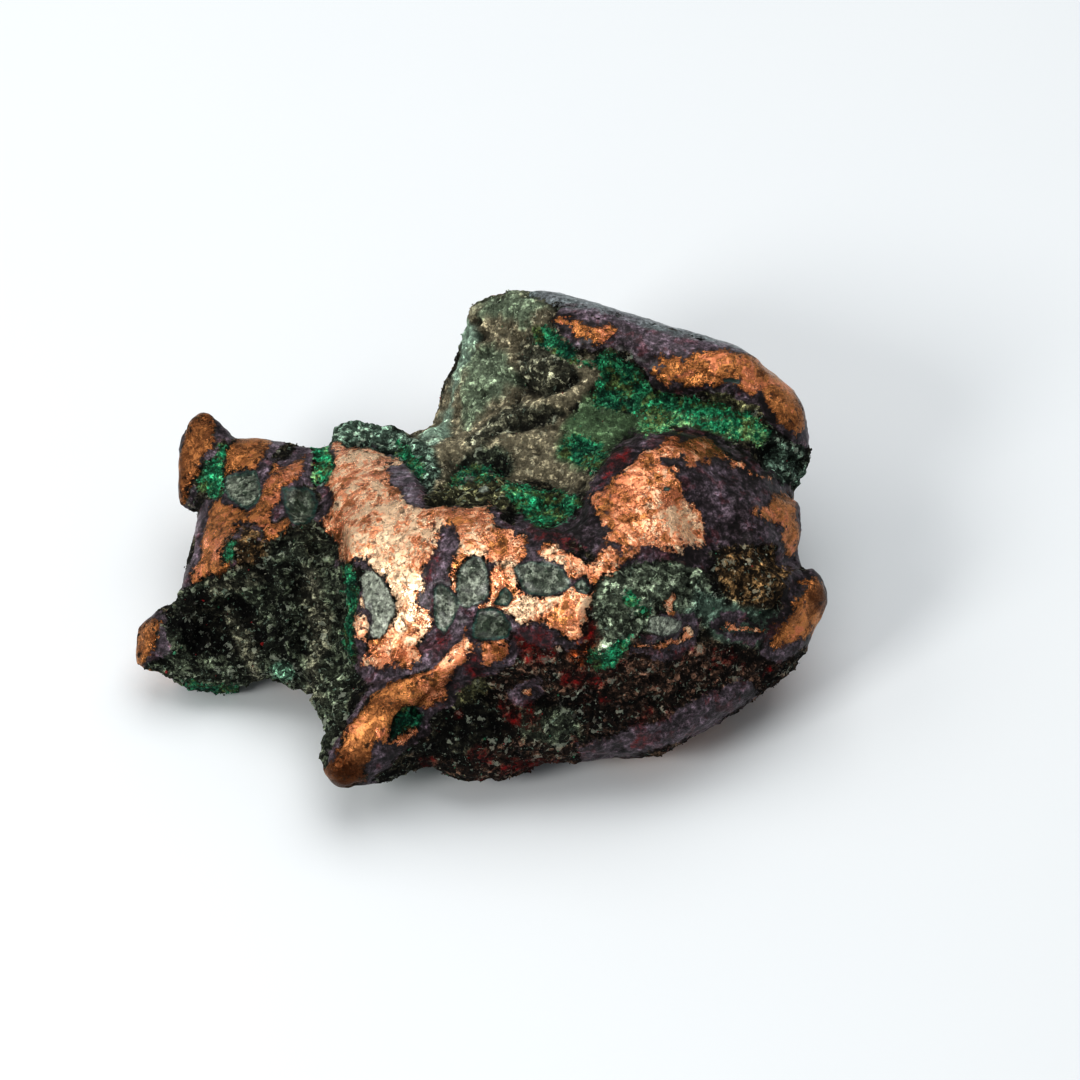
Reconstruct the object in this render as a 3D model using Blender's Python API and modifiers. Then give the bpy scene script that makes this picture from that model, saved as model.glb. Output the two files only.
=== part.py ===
"""Native copper nugget: one solid lump of copper and its mineral crust, as it lies on a table.

The nugget is built from balls. A lump is the convex hull of a few balls, so a ball's radius is the
roundness of that corner. The lumps are fused and the hollows, shaped in the same way, are cut out.
Axes: +X along the nugget, +Y away from its polished face, +Z up. Units here are millimetres, and
they become metres where a mesh is made.
"""

import math

import bmesh
import bpy
from mathutils import Vector

MM = 0.001
NODE = "copper_nugget"

# A ball is (across, up, height, radius). Across and up are where it shows on the nugget's face,
# seen from FACE_ELEVATION above the table, and height is its own above the table.
FACE_ELEVATION = math.radians(50)
FACE_TO_CENTRE = 12.0

LUMPS = {
    "core": [
        (-4.1, 1.0, 9.0, 7.0),
        (6.0, 4.6, 8.0, 7.5),
        (22.5, 3.6, 7.2, 7.5),
        (24.0, -4.0, 9.0, 8.0),
        (2.0, -7.9, 9.0, 8.0),
    ],
    "back_shoulder": [
        (5.0, 22.8, 20.3, 3.2),
        (12.1, 20.0, 21.0, 4.0),
        (24.2, 15.7, 20.5, 4.3),
        (28.1, 11.7, 17.0, 5.0),
        (28.6, 9.3, 14.5, 5.0),
        (13.4, 9.3, 4.6, 5.0),
        (24.7, 5.2, 6.0, 5.0),
        (3.9, 13.7, 7.0, 3.0),
    ],
    "back_corner": [
        (0.0, 24.0, 19.0, 1.3),
        (3.2, 24.8, 20.5, 1.5),
        (12.1, 18.5, 19.5, 4.0),
        (-1.4, 18.7, 15.0, 1.5),
        (3.9, 14.7, 9.0, 3.0),
    ],
    "slope": [
        (-0.2, 23.2, 18.0, 1.4),
        (-2.0, 17.6, 14.0, 1.6),
        (-3.4, 12.0, 10.5, 1.7),
        (-3.0, 7.8, 6.0, 4.0),
        (10.0, 18.1, 19.5, 3.8),
        (9.0, 8.6, 14.0, 5.0),
        (1.9, 5.6, 9.5, 5.0),
    ],
    "channel_floor": [
        (12.0, 9.4, 14.0, 6.5),
        (25.7, 9.1, 14.2, 6.3),
        (27.8, 5.6, 11.0, 4.2),
        (14.1, 3.0, 10.0, 6.0),
    ],
    "valley_fill": [
        (-6.0, 10.2, 10.5, 1.6),
        (-5.3, 7.1, 12.5, 3.0),
        (0.3, 5.9, 11.6, 5.0),
        (7.9, 6.3, 13.5, 5.0),
        (11.4, 5.0, 15.0, 5.0),
    ],
    "hump_ridge": [
        (17.8, 4.0, 17.0, 7.0),
        (24.6, 5.2, 17.0, 4.0),
        (29.0, 4.0, 15.5, 2.6),
        (21.9, -2.0, 13.0, 9.0),
    ],
    "saddle": [
        (-12.6, 5.5, 12.0, 3.8),
        (-9.4, -3.5, 12.0, 7.0),
        (0.1, -4.3, 14.0, 8.2),
        (11.9, -5.9, 14.0, 10.0),
        (-10.2, -9.3, 11.0, 4.0),
    ],
    "hump": [
        (16.8, 1.8, 16.0, 9.2),
        (11.9, -5.9, 14.0, 10.0),
        (21.9, -2.0, 13.0, 9.0),
    ],
    "belly": [
        (0.1, -15.9, 7.5, 6.3),
        (8.0, -15.0, 6.6, 7.0),
        (15.8, -15.0, 7.5, 6.4),
        (22.3, -12.1, 8.0, 6.0),
        (27.4, -8.9, 9.0, 5.5),
        (11.9, -5.9, 13.0, 10.0),
        (22.0, -2.0, 11.0, 9.0),
        (2.0, -5.9, 11.0, 8.0),
    ],
    "under_nodule": [
        (-1.5, -20.2, 4.8, 3.7),
        (2.3, -20.2, 4.8, 3.5),
        (8.0, -14.4, 5.0, 4.5),
        (-0.9, -13.4, 6.0, 5.0),
    ],
    "right_knob": [
        (31.0, -5.3, 12.0, 3.5),
        (29.2, -8.7, 10.0, 3.6),
        (23.8, -4.9, 12.0, 6.0),
    ],
    "right_block": [
        (29.6, 3.2, 15.0, 2.4),
        (29.6, -0.1, 14.0, 2.5),
        (22.0, 3.0, 14.0, 6.0),
        (22.9, -3.0, 12.0, 5.0),
    ],
    "right_crust": [
        (26.2, -4.7, 14.4, 4.0),
        (28.9, -6.1, 12.8, 3.4),
    ],
    "arm": [
        (-16.4, 6.6, 11.5, 3.0),
        (-14.9, 0.0, 13.0, 4.0),
        (-23.2, 7.6, 11.0, 3.0),
        (-26.1, 4.1, 10.5, 2.4),
        (-28.1, -4.0, 9.0, 2.0),
        (-21.9, -2.0, 12.0, 3.0),
        (-29.1, -12.8, 2.4, 2.6),
        (-25.7, -13.1, 2.0, 2.4),
        (-11.8, -9.9, 8.0, 5.0),
        (-20.2, -10.1, 4.0, 3.0),
    ],
    "arm_wall": [
        (-14.6, -15.8, 7.0, 1.7),
        (-12.6, -12.6, 8.0, 3.0),
        (-14.7, -11.3, 9.0, 2.0),
    ],
    "arm_boss": [
        (-23.3, -0.8, 13.7, 2.0),
        (-24.0, -1.6, 13.2, 1.8),
    ],
    "prong": [
        (-33.0, -9.4, 6.0, 1.8),
        (-32.8, -11.4, 5.0, 1.9),
        (-30.3, -9.0, 6.5, 3.0),
        (-28.0, -12.8, 3.4, 2.8),
        (-25.1, -12.5, 3.0, 2.4),
    ],
    "fin": [
        (-28.9, 12.2, 13.0, 1.3),
        (-29.9, 10.0, 12.0, 1.6),
        (-29.9, 6.1, 10.5, 1.5),
        (-29.7, 3.9, 9.5, 1.3),
        (-27.2, 10.9, 13.0, 1.3),
        (-26.1, 8.2, 12.5, 1.8),
        (-27.8, 5.6, 10.0, 1.8),
    ],
    "ledge": [
        (-14.9, 11.2, 11.5, 1.0),
        (-12.8, 11.4, 12.0, 0.9),
        (-9.5, 10.8, 12.0, 0.9),
        (-14.4, 8.2, 12.5, 1.5),
        (-6.2, 7.7, 12.0, 1.5),
        (-10.3, 6.1, 12.0, 3.0),
    ],
    "nodule": [
        (5.5, 16.8, 19.5, 2.0),
        (7.5, 17.1, 20.3, 2.0),
    ],
    "dusty_fold": [
        (-0.4, 9.8, 15.0, 1.3),
        (3.9, 10.4, 16.7, 1.4),
        (8.1, 11.1, 17.8, 1.3),
    ],
    "spur": [
        (0.7, -10.7, 15.0, 3.0),
        (-3.1, -12.1, 13.5, 3.0),
        (-8.0, -15.1, 10.5, 3.2),
        (-12.7, -21.5, 6.5, 2.6),
        (-13.6, -19.8, 7.5, 1.8),
        (-9.0, -21.4, 5.5, 2.2),
        (-3.8, -16.6, 7.0, 4.0),
        (-8.9, -10.9, 7.0, 4.0),
    ],
    "back_knob": [
        (17.5, 13.3, 8.0, 4.6),
        (24.0, 9.8, 7.0, 4.6),
        (15.0, 10.0, 12.0, 5.0),
    ],
}

HOLLOWS = {
    "arm_groove": [
        (-16.9, 7.0, 16.0, 1.6),
        (-15.6, 2.5, 17.7, 2.0),
        (-15.2, -1.6, 16.9, 2.4),
    ],
    "left_scoop": [
        (-26.3, -6.7, 10.7, 3.2),
        (-23.3, -6.0, 12.2, 3.2),
        (-24.9, -10.3, 8.6, 3.2),
    ],
    "right_scoop": [
        (-16.9, -5.5, 15.0, 3.6),
        (-16.3, -10.7, 11.2, 3.6),
    ],
    "under_arm": [
        (-22.4, -16.1, -3.0, 2.4),
        (-19.6, -17.9, -3.0, 2.4),
        (-21.2, -15.4, 8.0, 2.4),
        (-18.5, -17.1, 8.0, 2.4),
    ],
    "green_pocket": [
        (4.7, 4.3, 22.9, 2.6),
        (8.0, 3.3, 24.1, 2.6),
    ],
    "spur_front": [
        (-4.4, -18.3, 11.5, 3.4),
        (-0.7, -15.4, 14.5, 3.6),
        (4.5, -17.3, 13.1, 4.2),
    ],
    "right_dish": [
        (21.9, 3.8, 26.5, 5.0),
        (25.4, 1.7, 23.8, 4.4),
    ],
    "knob_notch": [
        (32.5, -1.2, 13.5, 1.0),
        (29.1, -1.9, 17.7, 1.6),
    ],
    "block_notch": [
        (32.4, 4.9, 14.0, 1.0),
        (29.8, 5.4, 18.8, 1.5),
    ],
    "underside": [
        (3.8, -10.3, -2.2, 4.5),
        (16.3, -7.3, -2.4, 4.5),
    ],
    "back_scoop": [
        (8.0, 19.1, 9.5, 5.0),
        (11.5, 17.6, 6.5, 4.5),
    ],
    "end_scoop": [
        (31.5, 6.0, 7.0, 4.2),
        (33.5, 2.5, 5.0, 4.2),
    ],
}

VOXEL = 0.7
CUTTER_VOXEL = 0.5
SMOOTH_STEPS = 3
ROUGHNESS_SIZE = 5.0
ROUGHNESS_DEPTH = 0.7
KEPT_SHARE = 0.19
TABLE_SIZE = 120.0

COPPER_COLOUR = (0.45, 0.21, 0.11, 1.0)
COPPER_ROUGHNESS = 0.35


def clear_scene():
    for old in list(bpy.data.objects):
        bpy.data.objects.remove(old)


def new_collection(name):
    made = bpy.data.collections.new(name)
    bpy.context.scene.collection.children.link(made)
    return made


def place(across, up, height):
    """The point that shows at (across, up) on the face and stands that high above the table."""
    away = (up - (height - FACE_TO_CENTRE) * math.cos(FACE_ELEVATION)) / math.sin(FACE_ELEVATION)
    return Vector((across, away, height)) * MM


def hull_of_balls(balls):
    """The convex hull of the balls, as a bmesh."""
    shell = bmesh.new()
    for across, up, height, radius in balls:
        ball = bmesh.ops.create_icosphere(shell, subdivisions=3, radius=radius * MM)
        bmesh.ops.translate(shell, verts=ball["verts"], vec=place(across, up, height))
    hull = bmesh.ops.convex_hull(shell, input=shell.verts)
    bmesh.ops.delete(shell, geom=hull["geom_interior"] + hull["geom_unused"], context="VERTS")
    bmesh.ops.recalc_face_normals(shell, faces=shell.faces)
    return shell


def object_of_hulls(name, groups, voxel, collection):
    """One object that holds the hull of each group of balls, fused to a single skin."""
    gathered = bmesh.new()
    for balls in groups.values():
        hull = hull_of_balls(balls)
        piece = bpy.data.meshes.new("hull")
        hull.to_mesh(piece)
        hull.free()
        gathered.from_mesh(piece)
        bpy.data.meshes.remove(piece)
    whole = bpy.data.meshes.new(name)
    gathered.to_mesh(whole)
    gathered.free()
    made = bpy.data.objects.new(name, whole)
    collection.objects.link(made)
    add_remesh(made, "fuse", voxel)
    return made


def add_remesh(target, name, voxel):
    remesh = target.modifiers.new(name, "REMESH")
    remesh.mode = "VOXEL"
    remesh.voxel_size = voxel * MM


def as_cutter(target):
    target.hide_render = True
    target.display_type = "WIRE"
    return target


def add_cut(target, name, cutter):
    cut = target.modifiers.new(name, "BOOLEAN")
    cut.operation = "DIFFERENCE"
    cut.solver = "EXACT"
    cut.object = cutter


def add_roughness(target):
    """Uneven growth: the skin moves in and out with a soft noise."""
    noise = bpy.data.textures.new("uneven_growth", "CLOUDS")
    noise.noise_scale = ROUGHNESS_SIZE * MM
    noise.noise_depth = 2
    swell = target.modifiers.new("uneven", "DISPLACE")
    swell.texture = noise
    swell.texture_coords = "LOCAL"
    swell.mid_level = 0.5
    swell.strength = ROUGHNESS_DEPTH * MM


def table_block(collection):
    """A block whose top is the table, to cut the resting spots flat."""
    bpy.ops.mesh.primitive_cube_add(size=TABLE_SIZE * MM, location=(0, 0, -TABLE_SIZE * MM / 2))
    block = bpy.context.object
    block.name = "table_block"
    for owner in list(block.users_collection):
        owner.objects.unlink(block)
    collection.objects.link(block)
    return as_cutter(block)


def copper_material():
    copper = bpy.data.materials.new("native_copper")
    copper.use_nodes = True
    surface = copper.node_tree.nodes["Principled BSDF"]
    surface.inputs["Base Color"].default_value = COPPER_COLOUR
    surface.inputs["Metallic"].default_value = 1.0
    surface.inputs["Roughness"].default_value = COPPER_ROUGHNESS
    return copper


def main():
    clear_scene()
    parts = new_collection("native_copper_nugget")
    cutters = new_collection("cutters")
    hollows = as_cutter(object_of_hulls("hollows", HOLLOWS, CUTTER_VOXEL, cutters))
    nugget = object_of_hulls(NODE, LUMPS, VOXEL, parts)
    add_cut(nugget, "hollow", hollows)
    add_remesh(nugget, "reskin", VOXEL)
    soften = nugget.modifiers.new("soften", "SMOOTH")
    soften.iterations = SMOOTH_STEPS
    add_roughness(nugget)
    thin = nugget.modifiers.new("thin", "DECIMATE")
    thin.ratio = KEPT_SHARE
    add_cut(nugget, "rest", table_block(cutters))
    nugget.data.materials.append(copper_material())


main()
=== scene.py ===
"""Looks of the native copper nugget: a water-worn lump of metal with malachite, oxides and earthy crust.

The nugget is a copy of its solid, made fine and given the relief of each mineral. Minerals lie in patches.
Each patch is an outline on the frame, a plane through AIM that faces the main view, and is thrown onto the
surface along straight lines from the eye. Where the eye can't reach, slow random clouds place the minerals.
"""

import itertools
import math

import bmesh
import bpy
import numpy as np
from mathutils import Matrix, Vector


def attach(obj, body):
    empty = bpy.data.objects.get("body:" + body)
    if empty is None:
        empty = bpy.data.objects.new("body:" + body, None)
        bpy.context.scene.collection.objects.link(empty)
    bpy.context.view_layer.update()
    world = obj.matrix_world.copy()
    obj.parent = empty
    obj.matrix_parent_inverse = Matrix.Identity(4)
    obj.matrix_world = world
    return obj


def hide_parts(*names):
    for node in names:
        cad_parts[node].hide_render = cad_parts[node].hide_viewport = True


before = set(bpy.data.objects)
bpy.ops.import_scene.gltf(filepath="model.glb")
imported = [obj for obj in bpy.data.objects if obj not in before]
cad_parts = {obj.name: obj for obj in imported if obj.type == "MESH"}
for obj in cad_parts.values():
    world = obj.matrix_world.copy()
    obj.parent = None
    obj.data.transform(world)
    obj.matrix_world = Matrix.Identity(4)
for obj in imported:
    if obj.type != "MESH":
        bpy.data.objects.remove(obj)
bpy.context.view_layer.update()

MM = 0.001
NODE = "copper_nugget"

# The main view: eye, aim and the frame, which is FRAME_STEPS tenths of a millimetre wide and high.
VIEW_ELEVATION = math.radians(50)
VIEW_DISTANCE = 0.32
AIM = np.array((0.0059, 0.0, 0.012))
FRAME_STEPS = 1080
STEP = 0.1 * MM
SENSOR = 36.0

# The fine mesh: the side of its squares, and rounds of smoothing for its facets, for the edge of what the eye
# reaches, and for the broad form. What stands out from the broad form by FORM_RISE is worn bare.
FINE_EDGE = 0.335 * MM
FACET_ROUNDS = 25
SEEN_ROUNDS = 6
FORM_ROUNDS = 60
FORM_RISE = 0.35 * MM

# How far from a patch's outline its depth is measured, in millimetres.
REACH = 2.5

# What the eye reaches: side of the cells in steps, and how far behind the nearest surface still is seen.
HIDDEN_CELL = 6
HIDDEN_GAP = 1.6 * MM

# Grains: number, smallest and largest radius, and seed of their draws.
GRAINS = {
    "crust_grains": (8000, 0.06 * MM, 0.2 * MM, 5),
    "malachite_grains": (5000, 0.06 * MM, 0.22 * MM, 6),
}
GRAIN_SPREAD = 0.15 * MM
GRAIN_SUNK = 0.7
LOWEST_GRAIN = 0.4 * MM

# Softboxes: place in metres, side in metres, power in watts and linear colour.
LIGHTS = {
    "left": ((-0.37, 0.06, 0.35), 0.2, 0.28, (1.0, 0.985, 0.96)),
    "glint": ((-0.32, -0.26, 0.28), 0.15, 1.0, (1.0, 0.98, 0.95)),
    "main": ((0.05, 0.16, 0.52), 0.5, 1.4, (1.0, 0.99, 0.98)),
}
ROOM_COLOUR = (0.95, 0.975, 1.0, 1)
ROOM_STRENGTH = 0.32
FLOOR_REACH = 2.0
FLOOR_COLOURS = ((0.7, 0.728, 0.748, 1), (0.715, 0.738, 0.752, 1))

# Colours of the minerals, in sRGB 0 to 255.
COLOURS = {
    "black_crust": (66, 62, 50),
    "hollow_crust": (94, 102, 86),
    "dust": (166, 158, 134),
    "green_dust": (186, 212, 192),
    "lichen": (160, 176, 150),
    "dark_dust": (112, 112, 96),
    "olive_crust": (118, 118, 88),
    "belly_crust": (84, 65, 54),
    "deep_black": (40, 40, 32),
    "brown_crust": (114, 92, 64),
    "sugar_crust": (136, 148, 128),
    "green_black": (124, 148, 132),
    "mint": (150, 196, 168),
    "grey_green": (120, 148, 112),
    "red_brown": (124, 66, 36),
    # The palest copper colour: pale copper, and the colour of the painted highlights and painted glints.
    "copper_pale_and_highlight": (255, 222, 188),
    "copper_salmon": (255, 182, 142),
    "copper_dull": (208, 138, 104),
    "copper_ochre": (200, 142, 92),
    "copper_brown": (134, 92, 62),
    "copper_stain": (74, 44, 26),
    "oxide_dark": (40, 30, 32),
    "oxide_light": (132, 117, 128),
    # A worn grey film, which on the shoulder's top edge is also a painted sheen.
    "grey_film_and_sheen": (132, 144, 144),
    "cuprite": (154, 30, 30),
    "malachite_dark": (20, 80, 62),
    "malachite": (56, 126, 92),
    "malachite_bright": (50, 160, 118),
    "malachite_pale": (130, 170, 120),
    "malachite_olive": (96, 92, 50),
    "stone_dark": (58, 71, 56),
    "stone_light": (166, 172, 158),
    "stone_rim": (16, 78, 70),
    "crystal": (150, 156, 142),
}

# Bare copper: a tone from 0, brown, over 0.5, ochre, to 1, salmon, and the outline.
COPPER = {
    "fin": (-0.05, [
        (210, 412), (216, 422), (215, 431), (214, 441), (210, 449), (206, 454), (202, 461), (197, 476),
        (191, 484), (187, 496), (185, 504), (181, 506), (179, 502), (179, 490), (176, 471), (177, 461),
        (181, 447), (185, 433), (190, 420), (198, 413), (204, 408)]),
    "arm_top": (0.2, [
        (231, 441), (242, 436), (255, 435), (266, 437), (272, 439), (267, 448), (261, 459), (257, 462),
        (255, 467), (251, 470), (242, 470), (235, 471), (230, 474), (225, 476), (224, 470), (225, 463),
        (228, 451)]),
    "arm_net": (0.32, [
        (221, 497), (223, 502), (231, 505), (239, 509), (247, 512), (253, 510), (256, 506), (261, 497),
        (263, 490), (266, 482), (271, 471), (273, 463), (276, 463), (281, 470), (287, 467), (294, 464),
        (304, 455), (306, 457), (303, 465), (302, 470), (299, 477), (292, 482), (286, 485), (281, 489),
        (280, 493), (281, 497), (279, 501), (272, 510), (270, 515), (270, 520), (273, 522), (279, 522),
        (286, 516), (290, 519), (290, 527), (286, 530), (277, 533), (272, 536), (268, 538), (265, 536),
        (264, 531), (261, 526), (255, 522), (247, 520), (240, 520), (237, 524), (234, 531), (229, 537),
        (224, 541), (221, 547), (219, 552), (220, 559), (223, 564), (228, 566), (225, 571), (220, 575),
        (217, 579), (215, 577), (211, 574), (205, 578), (200, 580), (194, 582), (189, 584), (190, 576),
        (198, 563), (201, 554), (202, 543), (204, 533), (208, 514), (215, 502)]),
    "prong": (0.0, [
        (141, 622), (151, 619), (159, 621), (157, 629), (158, 637), (155, 647), (149, 655), (144, 663),
        (138, 667), (134, 662), (134, 653), (136, 641), (138, 629)]),
    "saddle": (1.0, [
        (332, 443), (342, 442), (345, 446), (359, 447), (368, 446), (376, 449), (385, 451), (387, 456),
        (397, 458), (404, 462), (397, 465), (389, 464), (386, 468), (389, 474), (388, 480), (393, 486),
        (399, 489), (401, 493), (406, 502), (416, 508), (426, 508), (437, 506), (443, 504), (452, 508),
        (464, 507), (475, 505), (485, 504), (490, 502), (489, 507), (487, 512), (493, 516), (494, 524),
        (498, 527), (506, 529), (512, 530), (514, 537), (519, 533), (525, 535), (527, 541), (525, 547),
        (527, 554), (523, 560), (516, 564), (513, 568), (515, 574), (517, 581), (521, 590), (527, 595),
        (537, 597), (550, 596), (562, 593), (569, 589), (575, 586), (577, 591), (583, 594), (590, 595),
        (591, 600), (586, 612), (587, 619), (581, 627), (583, 633), (577, 639), (569, 641), (563, 635),
        (556, 629), (550, 629), (545, 623), (539, 621), (531, 622), (523, 624), (519, 622), (514, 617),
        (508, 614), (502, 611), (497, 608), (491, 607), (483, 608), (478, 607), (488, 603), (489, 595),
        (490, 583), (488, 575), (491, 570), (496, 566), (495, 562), (485, 564), (483, 558), (479, 555),
        (474, 554), (468, 558), (464, 562), (459, 566), (456, 572), (457, 581), (458, 591), (456, 597),
        (452, 593), (452, 583), (449, 575), (450, 568), (452, 562), (456, 554), (460, 545), (460, 539),
        (456, 528), (451, 526), (443, 526), (439, 530), (439, 537), (436, 545), (433, 552), (424, 568),
        (422, 574), (423, 581), (424, 589), (416, 595), (415, 602), (420, 608), (428, 610), (431, 614),
        (430, 631), (426, 635), (420, 642), (415, 644), (416, 648), (421, 654), (418, 660), (412, 662),
        (408, 667), (403, 667), (397, 668), (389, 664), (380, 669), (376, 667), (368, 664), (362, 665),
        (366, 656), (367, 646), (366, 641), (378, 639), (385, 633), (389, 625), (395, 616), (397, 606),
        (394, 597), (391, 589), (384, 577), (376, 572), (370, 566), (364, 559), (355, 556), (351, 562),
        (340, 562), (338, 555), (338, 543), (332, 534), (324, 531), (321, 522), (328, 514), (332, 504),
        (332, 492), (327, 484), (330, 476), (335, 467), (335, 459)]),
    "saddle_right": (0.9, [
        (537, 554), (542, 543), (550, 540), (558, 545), (562, 551), (571, 552), (577, 556), (585, 562),
        (594, 560), (607, 566), (606, 572), (598, 581), (595, 588), (590, 583), (586, 577), (581, 576),
        (573, 581), (569, 577), (567, 570), (563, 565), (550, 560), (541, 558)]),
    "saddle_far": (1.0, [
        (596, 556), (602, 551), (610, 546), (620, 549), (622, 560), (617, 572), (608, 576), (600, 570),
        (594, 563)]),
    "saddle_chip": (1.0, [(360, 597), (366, 600), (367, 608), (362, 608), (359, 602)]),
    "saddle_flake": (1.0, [
        (355, 614), (366, 613), (369, 623), (367, 635), (363, 642), (355, 635), (352, 623)]),
    "hump": (0.62, [
        (634, 461), (640, 454), (648, 450), (658, 448), (664, 441), (670, 437), (681, 433), (680, 437),
        (675, 442), (683, 444), (686, 440), (694, 436), (704, 437), (711, 440), (716, 448), (723, 452),
        (732, 459), (725, 458), (717, 455), (712, 458), (712, 465), (708, 463), (707, 456), (702, 460),
        (696, 462), (692, 467), (687, 465), (686, 460), (681, 456), (675, 458), (660, 457), (661, 464),
        (669, 467), (677, 465), (680, 471), (673, 475), (681, 481), (683, 489), (684, 499), (692, 504),
        (700, 512), (703, 521), (705, 531), (706, 541), (702, 546), (694, 546), (688, 543), (684, 546),
        (683, 554), (677, 552), (669, 550), (660, 548), (650, 546), (641, 546), (639, 550), (633, 558),
        (627, 562), (621, 560), (620, 554), (622, 547), (617, 542), (609, 543), (601, 540), (606, 535),
        (612, 531), (604, 526), (599, 521), (600, 516), (595, 512), (591, 502), (590, 495), (600, 491),
        (605, 492), (607, 485), (610, 479), (616, 474), (623, 470), (633, 465)]),
    "ridge_thread": (0.8, [
        (727, 465), (733, 461), (742, 461), (746, 464), (747, 469), (755, 474), (763, 476), (773, 477),
        (771, 479), (763, 477), (753, 475), (748, 471), (738, 467)]),
    "ridge_bit": (0.8, [(753, 508), (759, 506), (759, 512), (755, 516)]),
    "block": (0.3, [
        (774, 492), (784, 493), (795, 497), (796, 504), (797, 520), (800, 527), (801, 537), (799, 546),
        (794, 554), (788, 558), (785, 555), (786, 552), (785, 544), (782, 539), (783, 533), (785, 529),
        (780, 524), (772, 520), (767, 521), (760, 516), (761, 510), (767, 506), (771, 501)]),
    "knob": (0.12, [
        (800, 580), (807, 580), (809, 583), (813, 577), (818, 579), (823, 587), (827, 598), (827, 610),
        (822, 621), (815, 631), (807, 638), (802, 637), (797, 640), (793, 644), (786, 643), (778, 648),
        (772, 647), (771, 642), (774, 636), (780, 632), (775, 629), (773, 626), (782, 624), (788, 619),
        (792, 610), (794, 602), (799, 598), (803, 592), (807, 587)]),
    "chip_high": (0.8, [
        (664, 604), (667, 599), (675, 593), (676, 598), (674, 606), (673, 611), (675, 615), (669, 615),
        (665, 610)]),
    "chip_low": (0.9, [
        (688, 625), (692, 629), (693, 632), (690, 638), (684, 641), (671, 645), (663, 648), (654, 649),
        (652, 645), (660, 642), (669, 640), (679, 639), (683, 634)]),
    "chip_left": (0.9, [(634, 646), (642, 643), (649, 646), (644, 648), (637, 648)]),
    "belly_thread": (0.9, [
        (721, 628), (728, 625), (738, 627), (747, 626), (746, 623), (751, 629), (759, 631), (768, 629),
        (766, 632), (757, 632), (742, 631), (732, 632)]),
    "spur": (0.55, [
        (465, 628), (470, 640), (477, 643), (475, 650), (466, 651), (467, 658), (463, 665), (456, 668),
        (452, 675), (448, 683), (446, 690), (447, 700), (440, 703), (432, 706), (425, 708), (415, 706),
        (405, 707), (400, 710), (395, 717), (392, 725), (389, 735), (387, 742), (391, 744), (397, 741),
        (405, 735), (412, 731), (420, 729), (415, 733), (408, 740), (404, 745), (395, 743), (388, 745),
        (378, 739), (374, 742), (371, 748), (372, 755), (368, 762), (363, 768), (366, 775), (365, 782),
        (355, 785), (345, 789), (335, 790), (328, 785), (323, 778), (321, 770), (325, 765), (332, 762),
        (335, 755), (338, 750), (341, 745), (342, 735), (343, 728), (350, 722), (357, 718), (360, 710),
        (365, 705), (368, 698), (372, 694), (380, 690), (388, 684), (395, 681), (402, 677), (410, 676),
        (418, 673), (425, 672), (432, 670), (437, 665), (441, 660), (445, 655), (449, 650), (454, 645),
        (460, 643), (464, 636)]),
    "spur_tab": (0.35, [
        (479, 643), (485, 641), (495, 641), (502, 640), (508, 645), (509, 650), (507, 657), (500, 659),
        (492, 660), (490, 665), (485, 667), (482, 663), (481, 650)]),
    "shoulder": (0.34, [
        (656, 357), (662, 354), (666, 360), (672, 355), (680, 357), (684, 362), (690, 358), (695, 353),
        (703, 351), (713, 351), (725, 350), (735, 353), (745, 353), (758, 356), (773, 360), (785, 374),
        (795, 390), (802, 404), (806, 420), (803, 430), (797, 433), (797, 438), (793, 430), (787, 428),
        (780, 422), (774, 414), (768, 407), (765, 400), (764, 393), (760, 388), (752, 395), (748, 392),
        (742, 388), (738, 384), (730, 382), (722, 384), (715, 386), (705, 384), (697, 386), (688, 387),
        (682, 388), (678, 382), (672, 381), (668, 385), (660, 381), (656, 378), (660, 373), (652, 372),
        (655, 368), (663, 370), (666, 366), (660, 362)]),
    "shoulder_left": (0.45, [
        (551, 320), (556, 318), (563, 318), (570, 319), (577, 320), (585, 326), (595, 328), (603, 327),
        (610, 323), (613, 326), (618, 330), (612, 333), (611, 337), (605, 341), (599, 343), (592, 345),
        (590, 340), (583, 340), (577, 338), (573, 333), (571, 328), (566, 328), (560, 326)]),
    "belly_speck": (0.8, [(521, 696), (526, 693), (531, 692), (530, 695), (524, 696)]),
}

# Darker or brighter places of the copper: centre on the frame, radius, and what is added to the tone. The
# three saddle_glow entries are painted highlights.
COPPER_STAINS_AND_HIGHLIGHTS = {
    "fin_tip": (183, 490, 22, -0.15),
    "saddle_ochre_low": (420, 560, 24, -0.5),
    "saddle_ochre_mid": (500, 548, 20, -0.55),
    "saddle_ochre_right": (566, 620, 22, -0.6),
    "saddle_low": (395, 655, 26, -0.5),
    # Painted highlights: the saddle's lower part brightened towards the palest copper colour.
    "saddle_glow_left": (405, 600, 40, 0.8),
    "saddle_glow_mid": (400, 530, 40, 0.45),
    "saddle_glow_right": (530, 608, 34, 0.75),
    "hump_salmon": (670, 522, 34, 1.0),
    "hump_ochre": (622, 500, 26, -0.35),
    "spur_up": (385, 704, 26, -0.5),
    "spur_tip": (345, 775, 34, -1.3),
    "spur_neck": (462, 650, 18, 0.2),
    "knob_left": (800, 632, 14, 0.2),
    "knob_right": (822, 600, 12, -0.4),
    "shoulder_left_end": (590, 335, 24, -0.2),
    "saddle_crown": (360, 466, 40, 0.15),
    "shoulder_far": (798, 420, 22, -0.2),
    "saddle_ochre_top": (452, 510, 16, -0.5),
    "saddle_ochre_far": (596, 566, 12, -0.3),
    "net_low": (200, 560, 24, 0.15),
    "net_right": (285, 478, 20, 0.2),
}

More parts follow.
